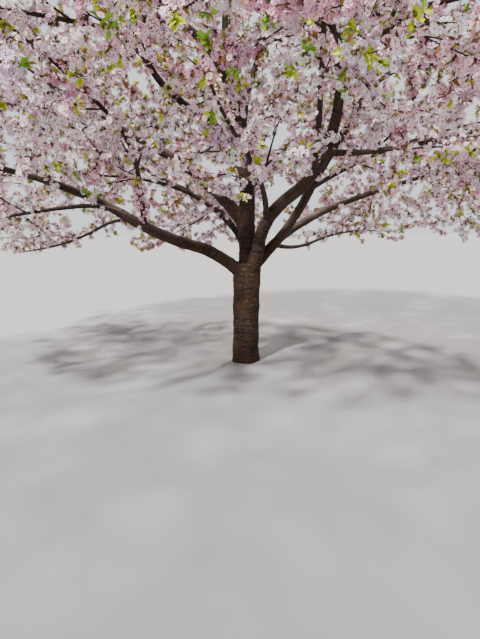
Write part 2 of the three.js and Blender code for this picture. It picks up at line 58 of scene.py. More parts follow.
trunk = {
    "top": 1.165, "shoulder": 1.0, "fork": 1.1, "radius": 0.156, "flare": 0.014, "flareHeight": 0.09,
    "swell": 0.01, "swellFrom": 0.78, "lean": 0.015, "leanPower": 1.5, "lobes": 5, "lobeDepth": 0.06,
    "lobeHeight": 0.17,
}
# two waves make the outline uneven, the skirt is the lower edge, and the inside is hollow
crown = {
    "radius": 4.25, "wave2": 0.12, "phase2": 0.6, "wave3": 0.1, "phase3": -1, "top": 6.2, "widest": 2.5,
    "roundness": 2.2, "skirt": 1.15, "skirtRight": 0.15, "skirtFront": 1.2, "skirtRadius": 2.7,
    "inside": 2.15, "insideFront": 0.45, "lip": 0.9, "sharpness": 2.5,
}

# name, grows on, at which share, length, base and tip diameter, where its blossom starts,
# azimuths and rises that it bends through
limbRows = [
    ("leader", "trunk", 0.93, 2.24, 0.205, 0.12, None,
     [269, 244, 219, 194], [90, 90, 80, 64]),
    ("left_bough", "trunk", 0.9, 3.8, 0.16, None, 0.42,
     [192, 195, 199, 200, 200, 200], [48, 16, 31, 19, 9, 7]),
    ("front_right_bough", "trunk", 0.93, 2.69, 0.165, 0.075, None,
     [318, 296, 318, 328, 304, 288, 270, 253], [44, 73, 49, 31, 46, 60, 65, 64]),
    ("right_bough", "trunk", 0.93, 2.91, 0.115, 0.07, None,
     [355, 352, 340, 336, 329, 319], [49, 51, 63, 56, 65, 75]),
    ("right_low_bough", "trunk", 0.9, 4.2, 0.12, None, 0.31,
     [30, 28, 26, 21, 17, 17], [56, 29, 18, 16, 13, 1]),
    ("back_left_bough", "trunk", 0.93, 3.73, 0.105, None, 0.39,
     [77, 138, 141, 142, 150, 152, 153, 153], [72, 49, 30, 22, 25, 21, 14, 5]),
    ("back_bough", "trunk", 0.95, 3.7, 0.13, None, 0.38,
     [80, 88, 94, 94], [68, 43, 24, 12]),
    ("up_left_bough", "leader", 0.25, 3.73, 0.15, None, 0.36,
     [169, 172, 173, 172, 172, 172], [54, 39, 27, 31, 35, 29]),
    ("high_left_bough", "leader", 0.6, 2.8, 0.105, None, 0.54,
     [205, 207, 223, 245, 251, 250], [49, 25, 32, 70, 56, 21]),
    ("top_right_bough", "leader", 0.72, 2.55, 0.09, None, 0.35,
     [57, 33, 20, 22], [81, 62, 61, 55]),
    ("top_left_bough", "leader", 1, 2.3, 0.095, None, 0.3,
     [201, 197, 185, 183, 185], [56, 31, 47, 55, 62]),
    ("top_branch", "leader", 0.97, 2.55, 0.085, None, 0.35,
     [106, 87, 79, 78], [82, 80, 76, 79]),
    ("high_back_bough", "leader", 0.48, 3.3, 0.11, None, 0.36,
     [120, 110, 104, 104], [56, 50, 38, 30]),
    ("high_right_bough", "leader", 0.62, 3.0, 0.095, None, 0.33,
     [62, 51, 44, 44], [52, 46, 40, 40]),
    ("left_near_branch", "left_bough", 0.39, 2.25, 0.052, None, 0.22,
     [217, 217, 216, 216, 216], [33, -6, -11, -5, 2]),
    ("left_back_branch", "left_bough", 0.33, 2.45, 0.048, None, 0.24,
     [143, 149, 150, 150], [27, -22, -11, -5]),
    ("left_rise_branch", "left_bough", 0.35, 2.5, 0.058, None, 0.22,
     [278, 271, 244, 245, 247], [53, 55, 30, 19, 15]),
    ("high_left_side_branch", "high_left_bough", 0.51, 2.29, 0.058, None, 0.26,
     [202, 191, 186, 186, 186], [45, 6, 8, 17, 23]),
    ("front_up_branch", "front_right_bough", 0.27, 2.36, 0.066, None, 0.22,
     [264, 257, 248, 261], [41, 19, 22, 24]),
    ("front_side_branch", "front_right_bough", 0.64, 2.1, 0.06, None, 0.17,
     [332, 341, 350, 350, 350], [-9, 6, 10, 7, 4]),
    ("front_left_branch", "front_right_bough", 0.97, 2.0, 0.058, None, 0.2,
     [241, 221, 217, 219], [22, 12, 20, 30]),
    ("front_over_branch", "front_right_bough", 0.56, 2.7, 0.064, None, 0.33,
     [264, 262, 262, 262], [30, 25, 22, 27]),
    ("front_out_branch", "front_right_bough", 1, 1.95, 0.066, None, 0.21,
     [317, 311, 310, 310], [17, 23, 24, 22]),
    ("right_out_branch", "right_bough", 1, 1.85, 0.066, None, 0.19,
     [332, 346, 352, 351, 351], [33, 7, 11, 14, 16]),
    ("right_top_branch", "right_bough", 0.92, 1.95, 0.056, None, 0.21,
     [25, 38, 41, 40], [72, 61, 56, 57]),
    ("right_side_branch", "right_bough", 0.74, 2.5, 0.05, None, 0.22,
     [27, 18, 15, 15], [58, 13, -1, 3]),
    ("right_mid_branch", "right_bough", 0.42, 2.4, 0.055, None, 0.21,
     [20, 10, 5], [30, 20, 10]),
    ("right_far_branch", "right_low_bough", 0.13, 3.25, 0.052, None, 0.34,
     [59, 52, 48, 48], [-11, 11, 3, -4]),
    ("back_left_side_branch", "back_left_bough", 0.35, 2.2, 0.052, None, 0.23,
     [190, 184, 179, 180], [28, 9, -2, -3]),
    ("back_right_branch", "back_bough", 0.35, 2.5, 0.058, None, 0.24,
     [53, 45, 39, 40], [40, 24, 14, 8]),
    ("back_low_branch", "back_bough", 0.3, 2.35, 0.052, None, 0.26,
     [122, 117, 112, 112], [0, -9, -13, -8]),
]
limbShape = {"steps": 24, "collar": 0.3, "collarLength": 0.13, "stemTip": 0.018}
massShape = {
    "stemSteps": 12, "heart": 0.5, "reach": 2.1, "candidates": 500, "twigs": 6, "spacing": 0.5,
    "lag": 0.55, "firstTwig": 0.07, "lastTwig": 0.92, "widestFork": -0.35,
    "probes": [0.15, 0.3, 0.45, 0.6, 0.75, 0.9, 1], "twigShare": 0.5, "twigThick": 0.013,
    "forward": 0.25, "straight": 0.35, "bentTwig": 1.15, "curveSteps": 8,
    "sideShares": [0.24, 0.44, 0.64, 0.84], "sideAngle": 52, "rolls": 14, "apart": 0.35, "bodyGap": 0.014,
    "seed": 7919,
}
spray = {
    "share": 0.62, "shortest": 0.48, "longest": 0.94, "mostOfTwig": 0.9, "sideShare": 0.56,
    "sideLeast": 0.85, "sideMore": 0.3, "sideShortest": 0.48, "sideLongest": 0.84, "width": 0.68,
    "thickness": 0.36, "sunk": 0.28, "sideSunk": 0.003, "tipAt": 0.94, "clear": 1.05, "twigClear": 1.1,
}


def seeded(seed):
    state = [seed & 0xFFFFFFFF]

    def draw():
        state[0] = (state[0] * 1664525 + 1013904223) & 0xFFFFFFFF
        return state[0] / 4294967296
    return draw


def unit(vector):
    return vector / np.linalg.norm(vector)


def along(values, share):
    place = min(max(share, 0), 1) * (len(values) - 1)
    index = min(int(place), len(values) - 2)
    return values[index] + (values[index + 1] - values[index]) * (place - index)


def pointOn(path, share):
    return along(path, share)


def headingNear(path, share, step=0.02):
    return unit(pointOn(path, share + step) - pointOn(path, share - step))


def headingAt(path, share):
    return headingNear(path, share, 0.5 / len(path))


def headingOf(azimuth, rise):
    a, r = math.radians(azimuth), math.radians(rise)
    return np.array([math.cos(r) * math.cos(a), math.cos(r) * math.sin(a), math.sin(r)])


def bendPath(start, azimuths, rises, length, steps):
    path = [np.array(start, float)]
    for step in range(steps):
        share = (step + 0.5) / steps
        path.append(path[-1] + headingOf(along(azimuths, share), along(rises, share)) * length / steps)
    return np.array(path)


def squareTo(direction):
    up = np.array([0, 0, 1.0]) if abs(direction[2]) < 0.9 else np.array([1.0, 0, 0])
    return unit(np.cross(up, direction))


def trunkAxis(height):
    return np.array([trunk["lean"] * (max(height, 0) / trunk["fork"]) ** trunk["leanPower"], 0, height])


def smoothstep(x, low, high):
    t = np.clip((x - low) / (high - low), 0, 1)
    return t * t * (3 - 2 * t)


def trunkRadius(height):
    flare = trunk["flare"] * np.exp(-height / trunk["flareHeight"])
    swell = trunk["swell"] * smoothstep(height, trunk["swellFrom"], trunk["shoulder"])
    return trunk["radius"] + flare + swell


def limbRadius(limb, share):
    collar = limb["collar"] * np.exp(-share * limb["length"] / limbShape["collarLength"])
    return (limb["base"] + (limb["tip"] - limb["base"]) * share) * (1 + collar) / 2


def placeLimbs():
    limbs = {}
    for name, on, at, length, base, tip, enter, azimuths, rises in limbRows:
        start = trunkAxis(trunk["fork"] * at) if on == "trunk" else pointOn(limbs[on]["path"], at)
        limbs[name] = {
            "name": name, "on": on, "length": length, "base": base, "enter": enter,
            "tip": limbShape["stemTip"] if tip is None else tip,
            "collar": 0 if on == "trunk" else limbShape["collar"],
            "path": bendPath(start, azimuths, rises, length, limbShape["steps"]),
        }
    return limbs


limbs = placeLimbs()
steps = limbShape["steps"]
knotStart = np.concatenate([limb["path"][:-1] for limb in limbs.values()])
knotSpan = np.concatenate([np.diff(limb["path"], axis=0) for limb in limbs.values()])
knotRadius = np.concatenate([limbRadius(limb, np.arange(steps) / steps) for limb in limbs.values()])
knotLimb = np.repeat(np.arange(len(limbs)), steps)
knotShare = np.tile(np.arange(steps) / steps, len(limbs))


def crownRadius(angle):
    return crown["radius"] + crown["wave2"] * np.sin(2 * angle + crown["phase2"]) \
        + crown["wave3"] * np.sin(3 * angle + crown["phase3"])


def inCrown(points, margin):
    radius = np.hypot(points[:, 0], points[:, 1])
    angle = np.arctan2(points[:, 1], points[:, 0])
    out = (radius / crownRadius(angle)) ** crown["roundness"]
    top = crown["widest"] + (crown["top"] - crown["widest"]) * np.sqrt(np.maximum(0, 1 - out))
    front = np.maximum(0, -np.sin(angle)) ** crown["sharpness"]
    skirt = crown["skirt"] + crown["skirtRight"] * np.maximum(0, np.cos(angle)) + crown["skirtFront"] * front
    share = radius / crown["skirtRadius"]
    beyond = np.maximum(0, radius - crown["skirtRadius"]) / (crown["radius"] - crown["skirtRadius"])
    inside = crown["inside"] - crown["insideFront"] * front
    under = np.where(share < 1, skirt + (inside - skirt) * (1 - share ** 2),
                     skirt + crown["lip"] * beyond ** crown["sharpness"])
    height = points[:, 2]
    return (radius < crownRadius(angle) - margin) & (height < top - margin) & (height > under + margin)


def placeMass(limb, order):
    # its stem carries on from its limb, and every other limb is kept clear of
    enter, steps = limb["enter"], massShape["stemSteps"]
    stem = np.array([pointOn(limb["path"], enter + (1 - enter) * step / steps) for step in range(steps + 1)])
    own = list(limbs).index(limb["name"])
    others = (knotLimb != own) | (knotShare < limb["enter"])
    return {
        "limb": limb, "order": order, "stem": stem, "heart": pointOn(stem, massShape["heart"]),
        "sprays": [], "twigs": [], "start": knotStart[others], "span": knotSpan[others],
        "radius": knotRadius[others],
    }


masses = [placeMass(limb, order) for order, limb in
          enumerate(limb for limb in limbs.values() if limb["enter"] is not None)]
hearts = np.array([mass["heart"] for mass in masses])


def inCell(mass, points, margin):
    # nearer to this mass's heart than to any other's
    points = np.atleast_2d(points)
    own = mass["order"]
    squares = ((points[:, None, :] - hearts[None]) ** 2).sum(2)
    between = 2 * np.linalg.norm(hearts - hearts[own], axis=1)
    between[own] = 1
    room = (squares - squares[:, own:own + 1]) / between
    room[:, own] = np.inf
    return inCrown(points, margin) & (room > margin).all(1)


def limbDistance(mass, points, batch=400):
    points = np.atleast_2d(points)
    nearest = np.full(len(points), np.inf)
    for i in range(0, len(points), batch):
        offset = points[i:i + batch, None, :] - mass["start"][None]
        share = (offset * mass["span"]).sum(2) / (mass["span"] ** 2).sum(1)
        away = np.linalg.norm(offset - np.clip(share, 0, 1)[..., None] * mass["span"], axis=2)
        nearest[i:i + batch] = (away - mass["radius"]).min(1)
    return nearest


def makeLozenge(root, forward, length, roll):
    # the room of one flowering shoot
    first = squareTo(forward)
    side = first * math.cos(roll) + np.cross(forward, first) * math.sin(roll)
    return {
        "root": root, "forward": forward, "side": side, "other": np.cross(forward, side), "length": length,
        "centre": root + forward * length / 2,
        "half": np.array([length / 2, length * spray["width"] / 2, length * spray["thickness"] / 2]),
    }


def lozengeDepth(lozenge, points):
    # below 1 is inside
    offset = np.atleast_2d(points) - lozenge["centre"]
    axes = np.array([lozenge["forward"], lozenge["side"], lozenge["other"]])
    return (np.abs(offset @ axes.T) / lozenge["half"]).sum(1)


def clearOfLimbs(mass, lozenge):
    slope = math.sqrt((1 / lozenge["half"] ** 2).sum())
    for share in (0.25, 0.75):
        depth = lozengeDepth(lozenge, mass["start"] + mass["span"] * share)
        if not (depth > 1 + (mass["radius"] + massShape["bodyGap"]) * slope).all():
            return False
    return True


def lozengeCorners(lozenge):
    centre, half = lozenge["centre"], lozenge["half"]
    forward, side, other = (lozenge[k] * h for k, h in zip(("forward", "side", "other"), half))
    return np.array([centre + forward, centre + side, centre - side, centre + other, centre - other,
                     centre - forward])


def lozengeProbes(lozenge):
    corners = lozengeCorners(lozenge)
    ring = corners[1:5]
    return np.vstack([corners, (ring + corners[0]) / 2, (ring + corners[5]) / 2, lozenge["centre"]])


def lozengesMeet(one, two):
    return (lozengeDepth(two, lozengeProbes(one)) < spray["clear"]).any() \
        or (lozengeDepth(one, lozengeProbes(two)) < spray["clear"]).any()


def lozengeFits(mass, lozenge):
    return inCell(mass, lozengeCorners(lozenge)[:5], massShape["bodyGap"]).all() \
        and clearOfLimbs(mass, lozenge) \
        and not any(lozengesMeet(lozenge, other) for other in mass["sprays"])


def twigEnds(mass, draw):
    # the farthest of many random places, one after another
    draws = np.array([draw() for _ in range(3 * massShape["candidates"])]).reshape(-1, 3)
    height = 2 * draws[:, 0] - 1
    turn = 2 * math.pi * draws[:, 1]
    distance = massShape["reach"] * np.cbrt(draws[:, 2])
    flat = np.sqrt(1 - height * height)
    offset = np.stack([flat * np.cos(turn), flat * np.sin(turn), height], 1)
    pool = mass["heart"] + offset * distance[:, None]
    pool = pool[inCell(mass, pool, 2 * massShape["bodyGap"])]
    room = np.linalg.norm(pool[:, None] - mass["stem"][None], axis=2).min(1)
    ends = []
    while len(ends) < massShape["twigs"] and len(pool) and room.max() > massShape["spacing"]:
        best = int(room.argmax())
        ends.append(pool[best])
        room = np.minimum(room, np.linalg.norm(pool - pool[best], axis=1))
    return ends


def bezier(start, bend, tip, rings):
    t = (np.arange(rings + 1) / rings)[:, None]
    return start * (1 - t) ** 2 + bend * 2 * t * (1 - t) + tip * t ** 2


def stemRadius(mass, share):
    enter = mass["limb"]["enter"]
    return limbRadius(mass["limb"], enter + (1 - enter) * share)


def growTwig(mass, end, draw):
    stem = mass["stem"]
    chord = stem[-1] - stem[0]
    offset = end - stem[0]
    level = offset @ chord / (chord @ chord)
    out = np.linalg.norm(offset - chord * level) / np.linalg.norm(chord)
    share = min(max(level - massShape["lag"] * out, massShape["firstTwig"]), massShape["lastTwig"])
    start = pointOn(stem, share)
    stemHeading = headingNear(stem, share)
    straight = end - start
    distance = np.linalg.norm(straight)
    roll = 2 * math.pi * draw()
    if straight @ stemHeading / distance < massShape["widestFork"]:
        return
    bend = start + stemHeading * massShape["forward"] * distance + straight * massShape["straight"]
    forward = unit(end - bend)
    length = min(max(spray["share"] * distance, spray["shortest"]), spray["longest"])
    if length > spray["mostOfTwig"] * distance:
        return
    root = end - forward * length
    sunk = root + forward * spray["sunk"] * length
    path = bezier(start, bend, sunk, 2 if distance > massShape["bentTwig"] else 1)
    thick = min(massShape["twigThick"], massShape["twigShare"] * stemRadius(mass, share))
    probes = np.array([pointOn(path, t) for t in massShape["probes"]])
    lozenge = makeLozenge(root, forward, length, roll)
    gap = thick + massShape["bodyGap"]
    if (limbDistance(mass, probes) > gap).all() and inCell(mass, probes, gap).all() \
            and not any((lozengeDepth(other, probes) < spray["twigClear"]).any()
                        for other in mass["sprays"]) and lozengeFits(mass, lozenge):
        mass["twigs"].append({"path": path, "thick": thick, "distance": distance,
                              "curve": bezier(start, bend, sunk, massShape["curveSteps"])})
        mass["sprays"].append(lozenge)


def growSides(mass, twig, draw):
    # sprays beside a twig, each turned to where it has most room
    onTwigs = [pointOn(other["path"], t) for other in mass["twigs"] if other is not twig
               for t in massShape["probes"]] + list(mass["stem"])
    for order, share in enumerate(massShape["sideShares"]):
        point = pointOn(twig["path"], share)
        forward = headingNear(twig["path"], share)
        first = squareTo(forward)
        second = np.cross(forward, first)
        wanted = spray["sideShare"] * twig["distance"] * (spray["sideLeast"] + spray["sideMore"] * draw())
        length = min(max(wanted, spray["sideShortest"]), spray["sideLongest"])
        turn = 2 * math.pi * draw()
        roll = 2 * math.pi * draw()
        best, roomiest = None, massShape["apart"]
        lean = math.radians(massShape["sideAngle"])
        for step in range(massShape["rolls"]):
            angle = turn + 2 * math.pi * step / massShape["rolls"] + order
            direction = forward * math.cos(lean) + first * math.sin(lean) * math.cos(angle) \
                + second * math.sin(lean) * math.sin(angle)
            lozenge = makeLozenge(point - direction * spray["sideSunk"], direction, length, roll)
            room = min(np.linalg.norm(other["centre"] - lozenge["centre"]) for other in mass["sprays"])
            if room > roomiest and lozengeFits(mass, lozenge) \
                    and not (lozengeDepth(lozenge, onTwigs) < spray["twigClear"]).any():
                roomiest, best = room, lozenge
        if best is not None:
            mass["sprays"].append(best)


def growMass(mass):
    draw = seeded(massShape["seed"] * (mass["order"] + 1))
    tip = makeLozenge(pointOn(mass["stem"], spray["tipAt"]), headingAt(mass["stem"], 1), spray["sideLongest"],
                      2 * math.pi * draw())
    if lozengeFits(mass, tip):
        mass["sprays"].append(tip)
    for end in twigEnds(mass, draw):
        growTwig(mass, end, draw)
    for twig in mass["twigs"]:
        growSides(mass, twig, draw)


for mass in masses:
    growMass(mass)
print("masses", len(masses), "twigs", sum(len(m["twigs"]) for m in masses),
      "sprays", sum(len(m["sprays"]) for m in masses))

# Finer twigs in the same cells

shootGrowth = {
    "seed": 4000, "stemPoints": 22, "axis": 0.96, "axisWave": 0.04, "axisSteps": 5,
    "sideShoots": 5, "sideFrom": 0.08, "sideTo": 0.72, "sideJitter": (0.1, 0.9), "sideLength": 0.42,
    "sideVary": (0.75, 1.05), "sideShorter": 0.45, "sideAngle": 46, "angleVary": 9, "acrossVary": 0.35,
    "sideSteps": 2, "fit": 1.02, "shrinks": 5, "shrink": 0.82,
    "tries": 4000, "reach": 2.1, "apart": 0.235, "edge": 0.1, "limbRoom": 0.05, "longest": 0.85,
    "away": 1.5, "turned": 0.6, "sharpest": -0.4, "dartSteps": 4,
    "bare": 0.2, "leastBare": 0.15, "flowered": 0.42, "lead": 0.3, "straight": 0.3, "droop": 0.05,
    "axisThick": 0.0065, "sideThick": 0.0038, "dartThick": 0.0056, "tip": 0.0015, "sides": 3,
}


def shootPath(start, heading, end, count):
    # starts along the heading of what carries it and curves to its end, sagging a little
    straight = end - start
    distance = np.linalg.norm(straight)
    bend = start + heading * shootGrowth["lead"] * distance + straight * shootGrowth["straight"]
    path = bezier(start, bend, end, count)
    t = np.linspace(0, 1, count + 1)[:, None]
    path[:, 2:] -= shootGrowth["droop"] * distance * 4 * t * (1 - t)
    return path


def shootsInSpray(lozenge, rng):
    # an axis through the spray, then its side shoots to both hands, kept within the spray
    grow = shootGrowth
    root, forward, side, other, length = (lozenge[k] for k in ("root", "forward", "side", "other", "length"))
    wave = other * length * grow["axisWave"] * rng.normal()
    axis = shootPath(root, unit(forward + wave / length), root + forward * length * grow["axis"],
                     grow["axisSteps"])
    sides = []
    for k in range(grow["sideShoots"]):
        share = grow["sideFrom"] + (grow["sideTo"] - grow["sideFrom"]) \
            * (k + rng.uniform(*grow["sideJitter"])) / grow["sideShoots"]
        start = pointOn(axis, share)
        lean = math.radians(grow["sideAngle"] + rng.uniform(-grow["angleVary"], grow["angleVary"]))
        across = unit(side * (1 if k % 2 else -1) + other * rng.normal(0, grow["acrossVary"]))
        direction = forward * math.cos(lean) + across * math.sin(lean)
        reach = length * grow["sideLength"] * rng.uniform(*grow["sideVary"]) \
            * (1 - grow["sideShorter"] * share)
        for _ in range(grow["shrinks"]):
            if lozengeDepth(lozenge, start + direction * reach)[0] < grow["fit"]:
                break
            reach *= grow["shrink"]
        sides.append((shootPath(start, forward, start + direction * reach, grow["sideSteps"]), direction))
    return axis, sides


def dartEnds(mass, stem, rng):
    # free places in the mass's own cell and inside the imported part's box, those near the stem first
    offset = rng.normal(size=(shootGrowth["tries"], 3))
    offset /= np.linalg.norm(offset, axis=1)[:, None]
    ends = mass["heart"] + offset * shootGrowth["reach"] * np.cbrt(rng.random(len(offset)))[:, None]
    ends = ends[inCell(mass, ends, shootGrowth["edge"])]
    ends = ends[limbDistance(mass, ends) > shootGrowth["limbRoom"]]
    ends = ends[((ends > cadBox[0]) & (ends < cadBox[1])).all(1)]
    return ends[np.argsort(np.linalg.norm(ends[:, None] - stem[None], axis=2).min(1))]


def growShoots(mass):
    grow = shootGrowth
    rng = np.random.default_rng(grow["seed"] + mass["order"])
    shoots = []   # path, share of it that bears no flowers, radius at its base
    nodes, headings = [], []   # where a shoot may start

    def addNodes(path):
        for i in range(1, len(path)):
            nodes.append(path[i])
            headings.append(unit(path[i] - path[i - 1]))

    stem = np.array([pointOn(mass["stem"], t) for t in np.linspace(0, 1, grow["stemPoints"])])
    addNodes(stem)
    for twig in mass["twigs"]:
        addNodes(twig["curve"])
    for lozenge in mass["sprays"]:
        axis, sides = shootsInSpray(lozenge, rng)
        shoots.append((axis, grow["bare"], grow["axisThick"]))
        addNodes(axis)
        for path, direction in sides:
            shoots.append((path, grow["bare"], grow["sideThick"]))
            nodes.append(path[-1])
            headings.append(direction)

    # darts fill what is still empty, each on a shoot from the twig that leads there best
    filled = [point for shoot in shoots for point in shoot[0][1:]]
    for dart in dartEnds(mass, stem, rng):
        if np.linalg.norm(np.array(filled) - dart, axis=1).min() < grow["apart"]:
            continue
        base = np.array(nodes)
        gap = dart - base
        distance = np.linalg.norm(gap, axis=1)
        turn = (gap * np.array(headings)).sum(1) / distance
        pick = int((distance * (grow["away"] - grow["turned"] * turn)).argmin())
        if distance[pick] > grow["longest"] or turn[pick] < grow["sharpest"]:
            continue
        path = shootPath(base[pick], headings[pick], dart, grow["dartSteps"])
        bare = max(grow["leastBare"], 1 - grow["flowered"] / distance[pick])
        shoots.append((path, bare, grow["dartThick"]))
        addNodes(path)
        filled.extend(path[1:])
    mass["shoots"] = shoots
    mass["rng"] = rng


for mass in masses:
    growShoots(mass)
print("shoots", sum(len(m["shoots"]) for m in masses))

# Helpers for the meshes


def unitRows(rows):
    return rows / np.maximum(np.linalg.norm(rows, axis=-1, keepdims=True), 1e-9)


def meshFromArrays(name, points, polygons, materialIndex=None, smooth=False):
    # polygons: a list of index arrays, each with its own number of corners per face
    mesh = bpy.data.meshes.new(name)
    points = np.asarray(points, np.float32).reshape(-1, 3)
    mesh.vertices.add(len(points))
    mesh.vertices.foreach_set("co", points.ravel())
    corners = np.concatenate([block.ravel() for block in polygons]).astype(np.int32)
    sizes = np.concatenate([np.full(len(block), block.shape[1]) for block in polygons]).astype(np.int32)
    mesh.loops.add(len(corners))
    mesh.loops.foreach_set("vertex_index", corners)
    mesh.polygons.add(len(sizes))
    mesh.polygons.foreach_set("loop_start", (np.cumsum(sizes) - sizes).astype(np.int32))
    if materialIndex is not None:
        mesh.polygons.foreach_set("material_index", np.concatenate(materialIndex).astype(np.int32))
    mesh.polygons.foreach_set("use_smooth", np.full(len(sizes), smooth))
    mesh.update(calc_edges=True)
    mesh.validate()
    return mesh


def vertexRows(mesh, key="co"):
    rows = np.empty(len(mesh.vertices) * 3, np.float32)
    mesh.vertices.foreach_get(key, rows)
    return rows.reshape(-1, 3).astype(float)


def addPiece(name, mesh, materials, replaced):
    piece = bpy.data.objects.new(name, mesh)
    bpy.context.scene.collection.objects.link(piece)
    for material in materials:
        mesh.materials.append(material)
    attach(piece, "root")
    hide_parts(*replaced)
    mesh.calc_loop_triangles()
    print("piece", name, len(mesh.loop_triangles), "triangles")


def ringFrames(path):
    # one frame a ring, carried along without twist
    path = np.asarray(path)
    forwards = unitRows(np.vstack([path[1:2] - path[:1], path[2:] - path[:-2], path[-1:] - path[-2:-1]]))
    across = squareTo(forwards[0])
    frames = []
    for forward in forwards:
        across = unit(across - forward * (across @ forward))
        frames.append((across, np.cross(forward, across)))
    return frames


def manyTubes(paths, radii, sides):
    # closed tubes from arrays, for the many thin twigs
    points, quads, caps, base = [], [], [], 0
    angles = 2 * math.pi * np.arange(sides) / sides
    k = np.arange(sides)
    for path, radius in zip(paths, radii):
        frames = ringFrames(path)
        rings = np.array([centre + r * (np.cos(angles)[:, None] * a + np.sin(angles)[:, None] * b)
                          for centre, r, (a, b) in zip(path, radius, frames)])
        points.append(rings.reshape(-1, 3))
        for ring in range(len(path) - 1):
            low, high = base + ring * sides, base + (ring + 1) * sides
            quads.append(np.stack([low + k, low + (k + 1) % sides, high + (k + 1) % sides, high + k], 1))
        caps.append(np.stack([base + k[::-1], base + (len(path) - 1) * sides + k]))
        base += len(path) * sides
    return np.concatenate(points), [np.concatenate(quads), np.concatenate(caps)]


def lattice(points, seed):
    # smooth noise between -1 and 1 on a unit grid; the long numbers scramble each corner's place
    cell = np.floor(points).astype(np.int64)
    part = points - cell
    part = part * part * (3 - 2 * part)
    total = np.zeros(len(points))
    for dx in (0, 1):
        for dy in (0, 1):
            for dz in (0, 1):
                key = ((cell[:, 0] + dx) * 374761393 + (cell[:, 1] + dy) * 668265263
                       + (cell[:, 2] + dz) * 1442695041 + seed * 974711) & 0x7FFFFFFF
                key = ((key ^ (key >> 13)) * 1274126177) & 0x7FFFFFFF
                value = ((key ^ (key >> 16)) & 0xFFFF) / 32767.5 - 1
                weight = (part[:, 0] if dx else 1 - part[:, 0]) * (part[:, 1] if dy else 1 - part[:, 1]) \
                    * (part[:, 2] if dz else 1 - part[:, 2])
                total += value * weight
    return total


# Materials


def newMaterial(name, colour, roughness, specular=0.3, sheen=0.0):
    material = bpy.data.materials.new(name)
    material.use_nodes = True
    shader = material.node_tree.nodes["Principled BSDF"]
    shader.inputs["Base Color"].default_value = (*colour, 1)
    shader.inputs["Roughness"].default_value = roughness
    shader.inputs["Specular IOR Level"].default_value = specular
    shader.inputs["Sheen Weight"].default_value = sheen
    material.diffuse_color = (*colour, 1)
    return material


def link(tree, source, target):
    tree.links.new(source, target)


def mathNode(tree, operation, first, second):
    node = tree.nodes.new("ShaderNodeMath")
    node.operation = operation
    for socket, value in zip(node.inputs, (first, second)):
        if isinstance(value, (int, float)):
            socket.default_value = value
        else:
            link(tree, value, socket)
    return node.outputs[0]


def stretchedNoise(tree, vector, stretch, detail, roughness):
    scale = tree.nodes.new("ShaderNodeVectorMath")
    scale.operation = "MULTIPLY"
    scale.inputs[1].default_value = stretch
    link(tree, vector, scale.inputs[0])
    texture = tree.nodes.new("ShaderNodeTexNoise")
    texture.inputs["Scale"].default_value = 1
    texture.inputs["Detail"].default_value = detail
    texture.inputs["Roughness"].default_value = roughness
    link(tree, scale.outputs[0], texture.inputs["Vector"])
    return texture.outputs["Fac"]


def stepped(tree, value, low, high, first=0, last=1):
    # eases from first to last while the value goes from low to high
    node = tree.nodes.new("ShaderNodeMapRange")
    node.interpolation_type = "SMOOTHSTEP"
    for name, number in (("From Min", low), ("From Max", high), ("To Min", first), ("To Max", last)):
        node.inputs[name].default_value = number
    link(tree, value, node.inputs["Value"])
    return node.outputs["Result"]


# each noise's stretch across and along the limb, its detail and roughness
barkNoises = {
    "coarse": ((4.5, 4.5, 36), 3, 0.6), "fine": ((16, 16, 150), 3, 0.65), "dashes": ((22, 22, 120), 1, 0.4),
    "blotches": ((7, 7, 3.4), 4, 0.6), "lichen": ((15, 15, 9), 5, 0.66), "grit": ((120, 120, 160), 4, 0.7),
}
barkMix = {
    "coarse": 0.7, "fine": 0.3, "dashRange": (0.62, 0.7), "lichenRange": (0.56, 0.68), "dashHeight": 0.35,
    "gritHeight": 0.3, "blotchRange": (0.42, 0.68), "topRange": (-0.1, 0.9),
}


def barkPatternGroup():
    # bands run across the limb, lenticels are short dashes in them, blotches are broad
    tree = bpy.data.node_groups.new("barkPattern", "ShaderNodeTree")
    tree.interface.new_socket(name="Grain", in_out="INPUT", socket_type="NodeSocketVector")
    grain = tree.nodes.new("NodeGroupInput").outputs["Grain"]
    noises = {name: stretchedNoise(tree, grain, *values) for name, values in barkNoises.items()}

    def weighed(socket, weight):
        return mathNode(tree, "MULTIPLY", socket, weight)

    bands = mathNode(tree, "ADD", *(weighed(noises[name], barkMix[name]) for name in ("coarse", "fine")))
    lenticels = stepped(tree, noises["dashes"], *barkMix["dashRange"])
    height = mathNode(tree, "ADD", bands, weighed(lenticels, barkMix["dashHeight"]))
    height = mathNode(tree, "ADD", height, weighed(noises["grit"], barkMix["gritHeight"]))
    results = {
        "Bands": bands, "Lenticels": lenticels, "Blotches": noises["blotches"],
        "Lichen": stepped(tree, noises["lichen"], *barkMix["lichenRange"]), "Height": height,
    }
    for name in results:
        tree.interface.new_socket(name=name, in_out="OUTPUT", socket_type="NodeSocketFloat")
    out = tree.nodes.new("NodeGroupOutput")
    for name, socket in results.items():
        link(tree, socket, out.inputs[name])
    return tree


def mixColour(tree, factor, first, second):
    node = tree.nodes.new("ShaderNodeMix")
    node.data_type = "RGBA"
    link(tree, factor, node.inputs[0])
    for socket, value in ((node.inputs[6], first), (node.inputs[7], second)):
        if isinstance(value, tuple):
            socket.default_value = (*value, 1)
        else:
            link(tree, value, socket)
    return node.outputs[2]


